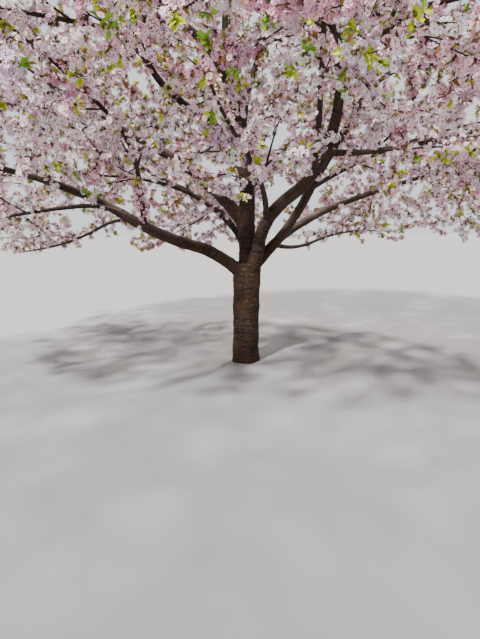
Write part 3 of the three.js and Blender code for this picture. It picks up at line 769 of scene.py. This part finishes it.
def barkMaterial(name, look, pattern):
    # dark in the furrows, and paler on top as painted light from above
    material = newMaterial(name, look["mid"], look["roughness"], 0.25)
    tree = material.node_tree
    shader = tree.nodes["Principled BSDF"]
    grain = tree.nodes.new("ShaderNodeAttribute")
    grain.attribute_name = "grain"
    group = tree.nodes.new("ShaderNodeGroup")
    group.node_tree = pattern
    link(tree, grain.outputs["Vector"], group.inputs["Grain"])
    normal = tree.nodes.new("ShaderNodeSeparateXYZ")
    link(tree, tree.nodes.new("ShaderNodeNewGeometry").outputs["Normal"], normal.inputs[0])
    # the upper side is made paler: painted light from above
    topLightMask = stepped(tree, normal.outputs["Z"], *barkMix["topRange"])
    layers = (
        (stepped(tree, group.outputs["Bands"], *look["bandRange"]), "mid"),
        (stepped(tree, group.outputs["Blotches"], *barkMix["blotchRange"]), "warm"),
        (mathNode(tree, "MULTIPLY", group.outputs["Lichen"], look["lichen"]), "lichenColour"),
        (mathNode(tree, "MULTIPLY", topLightMask, look["paintedTopLight"]), "pale"),
        (mathNode(tree, "MULTIPLY", group.outputs["Lenticels"], look["lenticels"]), "lenticelColour"),
    )
    colour = look["dark"]
    for mask, tone in layers:
        colour = mixColour(tree, mask, colour, look[tone])
    link(tree, colour, shader.inputs["Base Color"])
    bump = tree.nodes.new("ShaderNodeBump")
    bump.inputs["Distance"].default_value = look["bump"]
    link(tree, group.outputs["Height"], bump.inputs["Height"])
    link(tree, bump.outputs["Normal"], shader.inputs["Normal"])
    return material


# each look's pale tone is laid on the upper side as painted light from above
barkLooks = {
    # the trunk's tones are darker than its bark under open light: dark bark, with painted shade, as the trunk
    # stands in the crown's shade
    "trunk": {
        "dark": (0.008, 0.0045, 0.003), "mid": (0.037, 0.02, 0.012), "warm": (0.05, 0.021, 0.01),
        "pale": (0.1, 0.07, 0.052), "lichenColour": (0.08, 0.075, 0.05),
        "lenticelColour": (0.16, 0.105, 0.075), "bandRange": (0.38, 0.6), "lichen": 0.2, "paintedTopLight": 0.25,
        "lenticels": 0.5, "roughness": 0.8, "bump": 0.006,
    },
    "bough": {
        "dark": (0.013, 0.008, 0.006), "mid": (0.042, 0.027, 0.021), "warm": (0.058, 0.032, 0.021),
        "pale": (0.2, 0.165, 0.135), "lichenColour": (0.09, 0.095, 0.05),
        "lenticelColour": (0.12, 0.09, 0.07), "bandRange": (0.36, 0.62), "lichen": 0.42, "paintedTopLight": 0.5,
        "lenticels": 0.35, "roughness": 0.84, "bump": 0.005,
    },
}
barkPattern = barkPatternGroup()
trunkBark = barkMaterial("trunkBark", barkLooks["trunk"], barkPattern)
boughBark = barkMaterial("boughBark", barkLooks["bough"], barkPattern)
twigBark = newMaterial("twigBark", (0.028, 0.017, 0.014), 0.8)

# the mauve tint is the petals' colour in painted shade
petalColours = {
    "petalWhite": (0.93, 0.85, 0.89), "petalBlush": (0.91, 0.71, 0.79), "petalShell": (0.87, 0.57, 0.66),
    "petalRose": (0.76, 0.4, 0.53), "petalShadeMauve": (0.76, 0.6, 0.79), "petalCream": (0.94, 0.8, 0.72),
}
petalMaterials = [newMaterial(name, colour, 0.55, 0.25, 0.1) for name, colour in petalColours.items()]
centreMaterial = newMaterial("flowerCentre", (0.28, 0.035, 0.09), 0.6)
calyxMaterial = newMaterial("flowerStalk", (0.17, 0.065, 0.04), 0.6)
leafColours = {
    "leafLime": (0.5, 0.6, 0.016), "leafGreen": (0.2, 0.4, 0.02), "leafBronze": (0.36, 0.17, 0.04),
}
leafMaterials = [newMaterial(name, colour, 0.5, 0.4) for name, colour in leafColours.items()]
budColours = {
    "budOlive": (0.27, 0.25, 0.015), "budBronze": (0.26, 0.1, 0.02), "budScale": (0.06, 0.03, 0.017),
}
budMaterials = [newMaterial(name, colour, 0.6, 0.3) for name, colour in budColours.items()]

# Flowers and leaves on the shoots

petalShape = {
    "petals": 5, "corners": ((0.04, 0, 0.02), (0.93, -0.5, 0.26), (0.93, 0.5, 0.26)), "eye": 0.26,
    "eyeHeight": 0.13, "calyx": 0.24,
}
blossomLook = {
    "flowers": 122000, "fewest": 4, "most": 8, "wild": 0.24, "vary": 0.16, "openness": (0.3, 1.6),
    "stalk": 0.032, "stalkVary": (0.7, 1.7), "spread": 0.7, "sag": 0.12, "tilt": 0.4, "uneven": 0.05,
    "seed": 900, "jitter": 0.35, "turn": 2.4, "sunk": 0.9, "forward": (0.1, 0.9),
    "tintEvery": 6, "longLane": 8, "shootRadius": 0.002, "twigTip": 0.004, "bareTwig": 0.1, "bareStem": 0.08,
    "stemSpacing": 3, "spurSpacing": 1.9, "clothedSpacing": 0.55, "spurPoints": 12, "shortestSpur": 0.04,
}
# metres of each limb that bear no flowers, and the limbs that are thickly clothed past them
bareLength = {
    "trunk": 1.3, "leader": 0.6, "branch": 0.2,
    "named": {"front_up_branch": 0.4, "right_far_branch": 0.8, "back_left_bough": 0.75,
              "left_rise_branch": 0.12},
    "clothed": ("left_rise_branch", "back_left_bough"),
}
leafLook = {
    "patch": 2, "patchOffset": 40, "patchSeed": 11, "leafy": 0.05, "leafyTuft": 0.88, "otherTuft": 0.06,
    "fewest": 12, "most": 18, "tones": (0.52, 0.3, 0.18), "sameTone": 0.8, "tuft": 0.4, "spread": 0.75,
    "sag": 0.1, "tilt": 0.6, "length": 0.066, "vary": (0.6, 1.25),
    "outline": ((0, 0, 0), (0.3, -0.21, 0.06), (0.68, -0.19, 0.05), (1, 0, -0.08), (0.68, 0.19, 0.05),
                (0.3, 0.21, 0.06)),
}
budLook = {
    "fewest": 2, "most": 3, "tones": (0.42, 0.28, 0.3), "spread": 0.8, "length": 0.042, "vary": (0.6, 1.4),
    "widestAt": 0.45, "width": 0.23, "fold": 0.1,
}

# masses and bare limbs of each piece, how dense its blossom is, the flowers' radius, and the shares
# of white, blush, shell, rose, mauve and cream; the mauve is petals in painted shade, and the back pieces
# deal fewer whites and more pinks as painted shade
regions = {
    "left": (["left_bough", "left_near_branch", "left_back_branch"],
             1.3, 0.0245, (0.25, 0.3, 0.17, 0.05, 0.05, 0.18)),
    "highLeft": (["up_left_bough", "high_left_bough", "high_left_side_branch"],
                 1.05, 0.0245, (0.36, 0.28, 0.1, 0.04, 0.22, 0)),
    "backLeft": (["back_left_bough", "back_left_side_branch", "back_low_branch", "back_bough"],
                 0.95, 0.028, (0.1, 0.34, 0.27, 0.1, 0.03, 0.16)),
    "backRight": (["back_right_branch", "right_far_branch", "high_back_bough", "high_right_bough"],
                  0.9, 0.028, (0.1, 0.34, 0.28, 0.12, 0.04, 0.12)),
    "right": (["right_low_bough", "right_side_branch", "right_mid_branch", "right_out_branch",
               "right_bough"],
              1.15, 0.0245, (0.24, 0.34, 0.22, 0.08, 0.06, 0.06)),
    "top": (["top_right_bough", "top_left_bough", "top_branch", "right_top_branch", "leader"],
            1, 0.0265, (0.3, 0.3, 0.16, 0.08, 0.14, 0.02)),
    "frontLeft": (["front_up_branch", "front_left_branch", "left_rise_branch"],
                  2, 0.0205, (0.37, 0.31, 0.18, 0.05, 0.06, 0.03)),
    "frontRight": (["front_side_branch", "front_over_branch", "front_out_branch", "front_right_bough"],
                   1.9, 0.0205, (0.33, 0.33, 0.21, 0.06, 0.04, 0.03)),
}


def petalTemplate():
    # petals widest at their ends in a shallow cup, a small dark eye, and the calyx that the stalk leaves
    points = []
    for petal in range(petalShape["petals"]):
        angle = 2 * math.pi * petal / petalShape["petals"]
        a, b = math.cos(angle), math.sin(angle)
        points += [(x * a - y * b, x * b + y * a, z) for x, y, z in petalShape["corners"]]
    for corner in range(3):
        angle = 2 * math.pi * corner / 3
        points.append((petalShape["eye"] * math.cos(angle), petalShape["eye"] * math.sin(angle),
                       petalShape["eyeHeight"]))
    points += [(petalShape["calyx"], 0, 0), (-petalShape["calyx"], 0, 0)]
    return np.array(points)


def frameRows(normals, rng):
    # a random turn about each normal
    helper = unitRows(rng.normal(size=normals.shape))
    side = unitRows(np.cross(normals, helper))
    return side, np.cross(normals, side)


def spurLane(limb):
    # the part of a bare limb that flowers on short spurs
    begin = bareLength["named"].get(limb["name"]) or bareLength.get(limb["on"], bareLength["branch"])
    first, last = begin / limb["length"], limb["enter"] or 1
    if first > last - blossomLook["shortestSpur"]:
        return None
    shares = np.linspace(first, last, blossomLook["spurPoints"])
    path = np.array([pointOn(limb["path"], share) for share in shares])
    spacing = blossomLook["clothedSpacing" if limb["name"] in bareLength["clothed"] else "spurSpacing"]
    return path, 0, spacing, limbRadius(limb, shares)


def flowerLanes(limb):
    # every path that flowers: the axis, where it begins to flower, how sparsely, and its radii
    lanes = [spurLane(limb)]
    mass = byName.get(limb["name"])
    sparse = blossomLook["stemSpacing"]
    if mass is not None:
        thin, tip = blossomLook["shootRadius"], blossomLook["twigTip"]
        lanes += [(path, bare, 1, np.array([thin, thin])) for path, bare, thick in mass["shoots"]]
        lanes += [(twig["curve"], blossomLook["bareTwig"], sparse, np.array([twig["thick"], tip]))
                  for twig in mass["twigs"]]
        lanes.append((mass["stem"], blossomLook["bareStem"], sparse, stemRadius(mass, np.linspace(0, 1, 6))))
    return [lane for lane in lanes if lane is not None]


def laneLength(lanes):
    return sum(np.linalg.norm(np.diff(path, axis=0), axis=1).sum() * (1 - first) / sparse
               for path, first, sparse, radii in lanes)


def clusterPlaces(lanes, spacing, shares, rng):
    # roots and outward directions of the clusters, with the tint of their spray
    look = blossomLook
    roots, outs, tints = [], [], []
    tint = 0
    for lane, (path, first, sparse, radii) in enumerate(lanes):
        if lane % look["tintEvery"] == 1 or len(path) > look["longLane"]:
            tint = int(rng.choice(len(shares), p=shares))
        length = np.linalg.norm(np.diff(path, axis=0), axis=1).sum() * (1 - first)
        count = int(length / (spacing * sparse) + rng.random())
        turn = rng.uniform(0, 2 * math.pi)
        for k in range(count):
            share = first + (1 - first) * (k + 0.5 + rng.uniform(-look["jitter"], look["jitter"])) / count
            forward = headingAt(path, share)
            side = squareTo(forward)
            angle = turn + look["turn"] * k
            radial = side * math.cos(angle) + np.cross(forward, side) * math.sin(angle)
            roots.append(pointOn(path, share) + radial * along(radii, share) * look["sunk"])
            outs.append(unit(radial + forward * rng.uniform(*look["forward"])))
            tints.append(tint)
    return np.array(roots), np.array(outs), np.array(tints)


def growFlowers(places, size, rng):
    look = blossomLook
    roots, outs, tints = places
    numbers = rng.integers(look["fewest"], look["most"] + 1, len(roots))
    root, out, tint = (np.repeat(rows, numbers, axis=0) for rows in (roots, outs, tints))
    wild = rng.random(len(tint)) < look["wild"]
    tint[wild] = rng.integers(0, len(petalMaterials), wild.sum())
    direction = unitRows(out + look["spread"] * rng.normal(size=out.shape) - np.array([0, 0, look["sag"]]))
    stalk = look["stalk"] * rng.uniform(*look["stalkVary"], (len(root), 1))
    centre = root + direction * stalk
    normal = unitRows(direction + look["tilt"] * rng.normal(size=out.shape))
    radius = size * (1 + look["vary"] * rng.uniform(-1, 1, len(root)))
    side, other = frameRows(normal, rng)
    openness = rng.uniform(*look["openness"], len(root))
    template = petalTemplate()
    uneven = look["uneven"] * rng.normal(size=(len(root), len(template), 3))
    uneven[:, 0:3 * petalShape["petals"]:3] = 0   # the petals' inner corners stay together
    local = (template + uneven) * np.stack([radius, radius, radius * openness], 1)[:, None]
    points = centre[:, None] + local[..., :1] * side[:, None] + local[..., 1:2] * other[:, None] \
        + local[..., 2:] * normal[:, None]
    return np.concatenate([points, root[:, None]], axis=1), tint


def flowerFaces(count, tint):
    # a triangle for each petal, one for the eye and one for the calyx with its stalk
    plain = np.full(count, len(petalMaterials))
    faces = np.arange(3 * count * (petalShape["petals"] + 2)).reshape(-1, 3)
    return [faces], [np.stack([tint] * petalShape["petals"] + [plain, plain + 1], 1).ravel()]


def growBuds(places, rng):
    # small unfolding leaves of two triangles at the clusters' roots
    look = budLook
    roots, outs, tints = places
    numbers = rng.integers(look["fewest"], look["most"] + 1, len(roots))
    root, out = np.repeat(roots, numbers, axis=0), np.repeat(outs, numbers, axis=0)
    tone = np.repeat(rng.choice(3, size=len(roots), p=look["tones"]), numbers)
    forward = unitRows(out + look["spread"] * rng.normal(size=out.shape))
    side, other = frameRows(forward, rng)
    length = look["length"] * rng.uniform(*look["vary"], (len(root), 1))
    width, fold = look["width"] * length, look["fold"] * length
    middle = root + forward * length * look["widestAt"]
    points = np.stack([root, middle - side * width + other * fold, root + forward * length,
                       middle + side * width + other * fold], 1)
    return points, tone


def growLeaves(mass):
    # folded leaves of four triangles in tufts towards the shoots' ends, thick in some patches of the crown
    look, rng = leafLook, mass["rng"]
    outline = np.array(look["outline"])
    tips = np.array([shoot[0][-1] for shoot in mass["shoots"]])
    leafy = lattice(tips * look["patch"] + look["patchOffset"], look["patchSeed"]) > look["leafy"]
    leaves, tones = [], []
    for (path, bare, thick), rich in zip(mass["shoots"], leafy):
        if rng.random() > look["leafyTuft" if rich else "otherTuft"]:
            continue
        heading = headingAt(path, 1)
        tone = int(rng.choice(3, p=look["tones"]))
        for _ in range(rng.integers(look["fewest"], look["most"] + 1)):
            share = 1 - look["tuft"] * rng.random()
            direction = unit(heading + look["spread"] * rng.normal(size=3) - np.array([0, 0, look["sag"]]))
            up = np.array([0, 0, 1.0]) + look["tilt"] * rng.normal(size=3)
            normal = unit(np.cross(direction, np.cross(up, direction)))
            across = np.cross(normal, direction)
            local = outline * look["length"] * rng.uniform(*look["vary"])
            leaves.append(pointOn(path, share) + local[:, :1] * direction + local[:, 1:2] * across
                          + local[:, 2:] * normal)
            tones.append(tone if rng.random() < look["sameTone"] else int(rng.integers(3)))
    return leaves, tones


def nodeOf(limbName):
    return limbName.replace("_bough", "_blossom").replace("_branch", "_blossom")


massNodes = [nodeOf(mass["limb"]["name"]) for mass in masses]
byName = {mass["limb"]["name"]: mass for mass in masses}
lanesOf = {name: flowerLanes(limb) for name, limb in limbs.items()}
weighed = sum(laneLength(lanesOf[name]) * dense for names, dense, size, shares in regions.values()
              for name in names)
perCluster = (blossomLook["fewest"] + blossomLook["most"]) / 2
clusterSpacing = weighed * perCluster / blossomLook["flowers"]
print("flowering metres", round(float(weighed)), "cluster spacing", round(float(clusterSpacing), 4))

buds, budTones = [], []
for order, (region, (names, dense, size, shares)) in enumerate(regions.items()):
    rng = np.random.default_rng(blossomLook["seed"] + order)
    places = [clusterPlaces(lanesOf[name], clusterSpacing / dense, shares, rng) for name in names]
    blocks, tints = zip(*(growFlowers(place, size, rng) for place in places))
    for place in places:
        more, tone = growBuds(place, rng)
        buds.append(more)
        budTones.append(tone)
    flowers = np.concatenate(blocks)
    faces, index = flowerFaces(len(flowers), np.concatenate(tints))
    mesh = meshFromArrays("blossom" + region[0].upper() + region[1:], flowers.reshape(-1, 3), faces, index)
    addPiece(mesh.name, mesh, petalMaterials + [centreMaterial, calyxMaterial],
             [nodeOf(name) for name in names if name in byName])


def foldedMesh(name, rows, tones, halves):
    # each row of points is one leaf, folded along its middle into two halves
    base = (len(rows[0]) * np.arange(len(rows)))[:, None]
    faces = np.concatenate([base + np.array([half]) for half in halves])
    return meshFromArrays(name, np.array(rows).reshape(-1, 3), [faces], [np.tile(tones, 2)])


budMesh = foldedMesh("buds", np.concatenate(buds), np.concatenate(budTones), ([0, 1, 2], [0, 2, 3]))
addPiece("buds", budMesh, budMaterials, massNodes)

leaves, tones = [], []
for mass in masses:
    more, tone = growLeaves(mass)
    leaves += more
    tones += tone
leafMesh = foldedMesh("youngLeaves", leaves, tones, ([0, 1, 2, 3], [0, 3, 4, 5]))
addPiece("youngLeaves", leafMesh, leafMaterials, massNodes)

allShoots = [shoot for mass in masses for shoot in mass["shoots"]]
shootRadii = [np.linspace(thick, shootGrowth["tip"], len(path)) for path, bare, thick in allShoots]
points, faces = manyTubes([shoot[0] for shoot in allShoots], shootRadii, shootGrowth["sides"])
addPiece("fineTwigs", meshFromArrays("fineTwigs", points, faces), [twigBark], massNodes)
print("foliage done")

# Trunk, boughs and the stems of the masses. Each vertex keeps its place on its own limb
# (two offsets across and the distance along), which the bark's bands follow.

woodLook = {
    "ring": 0.026, "sides": {0.04: 22, 0.022: 16, 0: 10}, "twigSides": 8, "twigRing": 0.05,
    "twigTip": 0.0045, "twigNumber": 40, "lump": 0.07, "ripple": 0.0016, "rippleMost": 0.04,
    "broad": ((9, 9, 5.5), (20, 20, 13)), "bands": (12, 12, 95), "shift": 7.3, "overlap": 0.07,
    "narrowed": 0.1,
}
# the trunk with the limbs' first metres, fused with voxels and softened
forkLook = {
    "voxel": 0.0078, "smoothing": 7, "rings": 74, "sides": 60, "below": 0.06, "limbSides": 24,
    "narrowed": 0.14, "into": 0.6, "cut": 0.0005, "standing": 0.02, "lump": 0.006, "band": 0.0026,
    "broad": ((11, 11, 6), (26, 26, 15)), "bands": ((6, 6, 38), (18, 18, 110)),
}
# limbs whose first metres are moulded into the trunk's own mesh
moulded = {
    "leader": 0.86, "left_bough": 0.95, "front_right_bough": 0.86, "right_bough": 0.6,
    "right_low_bough": 0.72, "back_left_bough": 0.75, "back_bough": 0.6, "up_left_bough": 0.42,
    "front_up_branch": 0.24, "right_far_branch": 0.2,
}


def smoothPath(path, spacing):
    # a curve through the path's own points, evenly stepped
    path = np.asarray(path)
    ends = np.vstack([2 * path[:1] - path[1:2], path, 2 * path[-1:] - path[-2:-1]])
    length = np.linalg.norm(np.diff(path, axis=0), axis=1).sum()
    count = max(6, int(length / spacing))
    place = np.linspace(0, len(path) - 1, count + 1)
    index = np.minimum(place.astype(int), len(path) - 2)
    t = (place - index)[:, None]
    a, b, c, d = (ends[index + k] for k in range(4))
    square, cube = 2 * a - 5 * b + 4 * c - d, 3 * b - a - 3 * c + d
    return 0.5 * (2 * b + (c - a) * t + square * t ** 2 + cube * t ** 3)


def sweepTube(bm, path, radii, sides):
    frames = ringFrames(path)
    matrices = []
    for centre, radius, (first, second) in zip(path, radii, frames):
        third = np.cross(first, second)
        rows = [[first[k] * radius, second[k] * radius, third[k] * radius, centre[k]] for k in range(3)]
        matrices.append(Matrix(rows + [[0, 0, 0, 1]]))
    ring = bmesh.ops.create_circle(bm, cap_ends=True, segments=sides, radius=1, matrix=matrices[0])["verts"]
    edges = list({edge for vertex in ring for edge in vertex.link_edges})
    for before, after in zip(matrices, matrices[1:]):
        grown = bmesh.ops.extrude_edge_only(bm, edges=edges)["geom"]
        ring = [part for part in grown if isinstance(part, bmesh.types.BMVert)]
        fresh = set(ring)
        edges = [part for part in grown if isinstance(part, bmesh.types.BMEdge)
                 and part.verts[0] in fresh and part.verts[1] in fresh]
        bmesh.ops.transform(bm, matrix=after @ before.inverted(), verts=ring)
    bmesh.ops.contextual_create(bm, geom=edges)


def sweptMesh(name, tubes):
    # every tube is swept by itself, then they are gathered in one mesh
    whole = bmesh.new()
    single = bpy.data.meshes.new("tube")
    for path, radii, sides in tubes:
        bm = bmesh.new()
        sweepTube(bm, path, radii, sides)
        bmesh.ops.recalc_face_normals(bm, faces=bm.faces)
        bm.to_mesh(single)
        bm.free()
        whole.from_mesh(single)
    bpy.data.meshes.remove(single)
    mesh = bpy.data.meshes.new(name)
    whole.to_mesh(mesh)
    whole.free()
    return mesh


def limbLine(limb, first, last):
    # the smoothed axis between two shares of the limb, with the share of each of its points
    whole = smoothPath(limb["path"], woodLook["ring"] / 2)
    shares = np.linspace(0, 1, len(whole))
    count = max(4, int((last - first) * limb["length"] / woodLook["ring"]))
    wanted = np.linspace(first, last, count + 1)
    line = np.stack([np.interp(wanted, shares, whole[:, k]) for k in range(3)], 1)
    return line, wanted


def twoWaves(grain, stretches, seed):
    # a broad wave and a finer one at half its height
    return lattice(grain * stretches[0], seed) + 0.5 * lattice(grain * stretches[1], seed + 2)


def finishWood(mesh, points, grain):
    mesh.vertices.foreach_set("co", points.astype(np.float32).ravel())
    attribute = mesh.attributes.new("grain", "FLOAT_VECTOR", "POINT")
    attribute.data.foreach_set("vector", grain.astype(np.float32).ravel())
    mesh.polygons.foreach_set("use_smooth", np.ones(len(mesh.polygons), bool))
    mesh.update()
    return mesh


def woodMesh(name, tubes):
    # tubes: path, radii, sides, distances along, number of the limb
    grain, outward, size = [], [], []
    mesh = sweptMesh(name, [tube[:3] for tube in tubes])
    points = vertexRows(mesh)
    begin = 0
    for path, radii, sides, distances, number in tubes:
        end = begin + len(path) * sides
        frames = np.repeat([np.concatenate(pair) for pair in ringFrames(path)], sides, axis=0)
        offset = points[begin:end] - np.repeat(path, sides, axis=0)
        grain.append(np.stack([(offset * frames[:, :3]).sum(1), (offset * frames[:, 3:]).sum(1),
                               np.repeat(distances, sides) + woodLook["shift"] * number], 1))
        outward.append(unitRows(offset))
        size.append(np.repeat(radii, sides))
        begin = end
    grain, outward, size = np.concatenate(grain), np.concatenate(outward), np.concatenate(size)
    ripple = np.minimum(woodLook["ripple"], woodLook["rippleMost"] * size)
    relief = woodLook["lump"] * size * twoWaves(grain, woodLook["broad"], 3) \
        + ripple * lattice(grain * woodLook["bands"], 7)
    return finishWood(mesh, points + outward * relief[:, None], grain)


def sidesFor(radius):
    return next(sides for thicker, sides in woodLook["sides"].items() if radius > thicker)


def boughTubes():
    # from a little within the moulded part to where the blossom starts
    tubes = []
    for number, limb in enumerate(limbs.values()):
        begin = moulded.get(limb["name"], 0)
        first = max(0, begin - woodLook["overlap"]) / limb["length"] if begin else 0
        line, shares = limbLine(limb, first, limb["enter"] or 1)
        radii = limbRadius(limb, shares)
        if begin:
            into = (shares * limb["length"] - begin + woodLook["overlap"]) / woodLook["overlap"]
            radii = radii * (1 - woodLook["narrowed"] + woodLook["narrowed"] * np.clip(into, 0, 1))
        tubes.append((line, radii, sidesFor(limb["base"] / 2), shares * limb["length"], number + 1))
    return tubes


def stemTubes():
    tubes = []
    for number, limb in enumerate(limbs.values()):
        if limb["enter"] is None:
            continue
        line, shares = limbLine(limb, limb["enter"], 1)
        radii = limbRadius(limb, shares)
        tubes.append((line, radii, sidesFor(radii[0]), shares * limb["length"], number + 1))
    for mass in masses:
        for order, twig in enumerate(mass["twigs"]):
            line = smoothPath(twig["curve"], woodLook["twigRing"])
            radii = np.linspace(twig["thick"], woodLook["twigTip"], len(line))
            distances = np.linspace(0, twig["distance"], len(line))
            tubes.append((line, radii, woodLook["twigSides"], distances, woodLook["twigNumber"] + order))
    return tubes


def trunkLine():
    heights = np.linspace(-forkLook["below"], trunk["top"], forkLook["rings"])
    return np.array([trunkAxis(height) for height in heights]), heights


def trunkTube(bm):
    line, heights = trunkLine()
    sides = forkLook["sides"]
    sweepTube(bm, line, trunkRadius(np.maximum(heights, 0)), sides)
    for k, vertex in enumerate(bm.verts):
        ring = min(k // sides, len(heights) - 1)
        lobes = trunk["lobeDepth"] * math.exp(-max(heights[ring], 0) / trunk["lobeHeight"])
        offset = vertex.co - Vector(line[ring])
        angle = math.atan2(offset.y, offset.x)
        vertex.co += Vector((offset.x, offset.y, 0)) * lobes * math.cos(trunk["lobes"] * angle)


def fusedMesh(rough):
    # a copy of the mesh with its overlapping tubes made one skin
    carrier = bpy.data.objects.new("trunkRough", rough)
    bpy.context.scene.collection.objects.link(carrier)
    remesh = carrier.modifiers.new("fuse", "REMESH")
    remesh.mode = "VOXEL"
    remesh.voxel_size = forkLook["voxel"]
    soften = carrier.modifiers.new("soften", "SMOOTH")
    soften.factor = 0.5
    soften.iterations = forkLook["smoothing"]
    fused = bpy.data.meshes.new_from_object(carrier.evaluated_get(bpy.context.evaluated_depsgraph_get()))
    bpy.data.objects.remove(carrier)
    bpy.data.meshes.remove(rough)
    return fused


def meshOf(bm, name):
    bmesh.ops.recalc_face_normals(bm, faces=bm.faces)
    mesh = bpy.data.meshes.new(name)
    bm.to_mesh(mesh)
    bm.free()
    return mesh


def trunkMesh():
    # the trunk and the limbs' first metres, cut level at the ground, with bands and lumps in relief
    bm = bmesh.new()
    trunkTube(bm)
    into = woodLook["overlap"] * forkLook["into"]
    for name, metres in moulded.items():
        limb = limbs[name]
        axis, shares = limbLine(limb, 0, (metres + into) / limb["length"])
        past = (shares * limb["length"] - metres) / into
        radii = limbRadius(limb, shares) * (1 - forkLook["narrowed"] * np.clip(past, 0, 1))
        sweepTube(bm, axis, radii, forkLook["limbSides"])
    fused = fusedMesh(meshOf(bm, "trunkRough"))
    bm = bmesh.new()
    bm.from_mesh(fused)
    bpy.data.meshes.remove(fused)
    bmesh.ops.bisect_plane(bm, geom=bm.verts[:] + bm.edges[:] + bm.faces[:], plane_co=(0, 0, forkLook["cut"]),
                           plane_no=(0, 0, 1), clear_inner=True)
    bmesh.ops.contextual_create(bm, geom=[edge for edge in bm.edges if edge.is_boundary])
    mesh = meshOf(bm, "trunk")
    points = vertexRows(mesh)
    grain = nearestGrain(points)
    relief = (forkLook["lump"] * twoWaves(grain, forkLook["broad"], 3)
              + forkLook["band"] * twoWaves(grain, forkLook["bands"], 7)) \
        * smoothstep(points[:, 2], 0.0, forkLook["standing"])
    points += vertexRows(mesh, "normal") * relief[:, None]
    points[:, 2] = np.maximum(points[:, 2], forkLook["cut"])
    return finishWood(mesh, points, grain)


def nearestGrain(points, batch=4000):
    # places on the nearest of the trunk's and the moulded limbs' axes
    best = np.full(len(points), np.inf)
    grain = np.zeros((len(points), 3))
    line, heights = trunkLine()
    lanes = [(line, trunkRadius(np.maximum(heights, 0)), heights, 0)]
    for name, metres in moulded.items():
        axis, shares = limbLine(limbs[name], 0, (metres + woodLook["overlap"]) / limbs[name]["length"])
        number = list(limbs).index(name) + 1
        lanes.append((axis, limbRadius(limbs[name], shares), shares * limbs[name]["length"], number))
    for axis, radii, distances, number in lanes:
        frames = np.array([np.concatenate(pair) for pair in ringFrames(axis)])
        for begin in range(0, len(points), batch):
            here = slice(begin, begin + batch)
            depths = np.linalg.norm(points[here, None] - axis[None], axis=2) / radii
            near, depth = depths.argmin(1), depths.min(1)
            offset = points[here] - axis[near]
            first, second = frames[near, :3], frames[near, 3:]
            row = np.stack([(offset * first).sum(1), (offset * second).sum(1), distances[near]
                            + (offset * np.cross(first, second)).sum(1) + woodLook["shift"] * number], 1)
            closer = depth < best[here]
            best[here] = np.where(closer, depth, best[here])
            grain[here] = np.where(closer[:, None], row, grain[here])
    return grain


addPiece("trunkAndFork", trunkMesh(), [trunkBark], ["trunk", *moulded])
addPiece("boughs", woodMesh("boughs", boughTubes()), [boughBark], list(limbs))
addPiece("stems", woodMesh("stems", stemTubes()), [boughBark], massNodes)
print("wood done")

# Camera, floor and light

cameraLook = {"place": (-0.066, -5.65, 1.6), "upwards": -11, "sensor": 36, "lens": 36 * 480 / 639, "far": 100}
camera = bpy.data.cameras.new("camera")
camera.type = "PERSP"
camera.sensor_width = cameraLook["sensor"]
camera.lens = cameraLook["lens"]
camera.clip_end = cameraLook["far"]
cameraObject = bpy.data.objects.new("camera", camera)
cameraObject.location = cameraLook["place"]
cameraObject.rotation_euler = (math.radians(90 + cameraLook["upwards"]), 0, 0)
bpy.context.scene.collection.objects.link(cameraObject)
bpy.context.scene.camera = cameraObject

floorLook = {"halfSide": 300, "colour": (0.33, 0.33, 0.335), "roughness": 0.9}
bm = bmesh.new()
bmesh.ops.create_grid(bm, x_segments=1, y_segments=1, size=floorLook["halfSide"])
floorMesh = bpy.data.meshes.new("floor")
bm.to_mesh(floorMesh)
bm.free()
floor = bpy.data.objects.new("floor", floorMesh)
floorMesh.materials.append(newMaterial("floorPale", floorLook["colour"], floorLook["roughness"], 0.1))
bpy.context.scene.collection.objects.link(floor)

# strengths in each direction; the shares are of the direction's height, or of its depth for "across"
skyLook = {
    "behind": 1.15, "front": 0.15, "across": 0.6, "zenith": 0.1, "fadeFrom": 0.42, "fadeTo": 0.75,
    "horizon": 0.95, "horizonFrom": 0.02, "horizonTo": 0.34, "colour": (0.93, 0.95, 1),
}


def studioSky(look):
    # pale behind the tree and in a band along the horizon, dimmer above
    world = bpy.data.worlds.new("studioSky")
    world.use_nodes = True
    tree = world.node_tree
    background = tree.nodes["Background"]
    background.inputs["Color"].default_value = (*look["colour"], 1)
    parts = tree.nodes.new("ShaderNodeSeparateXYZ")
    link(tree, tree.nodes.new("ShaderNodeTexCoord").outputs["Object"], parts.inputs[0])
    depth, height = parts.outputs["Y"], parts.outputs["Z"]
    side = stepped(tree, depth, -look["across"], look["across"], look["front"], look["behind"])
    high = stepped(tree, height, look["fadeFrom"], look["fadeTo"], 1, look["zenith"])
    link(tree, side, high.node.inputs["To Min"])
    low = stepped(tree, height, look["horizonFrom"], look["horizonTo"], look["horizon"], look["zenith"])
    link(tree, mathNode(tree, "MAXIMUM", high, low), background.inputs["Strength"])
    return world


bpy.context.scene.world = studioSky(skyLook)


def addSun(name, azimuth, height, strength, softness, colour):
    # angles in degrees
    lamp = bpy.data.lights.new(name, "SUN")
    lamp.energy = strength
    lamp.angle = math.radians(softness)
    lamp.color = colour
    lampObject = bpy.data.objects.new(name, lamp)
    lampObject.rotation_euler = Vector(headingOf(azimuth, height)).to_track_quat("Z", "Y").to_euler()
    bpy.context.scene.collection.objects.link(lampObject)


addSun("sunBehind", 62, 52, 6.5, 6, (1, 0.95, 0.88))
addSun("sunFront", 238, 46, 7.5, 4, (1, 0.97, 0.94))
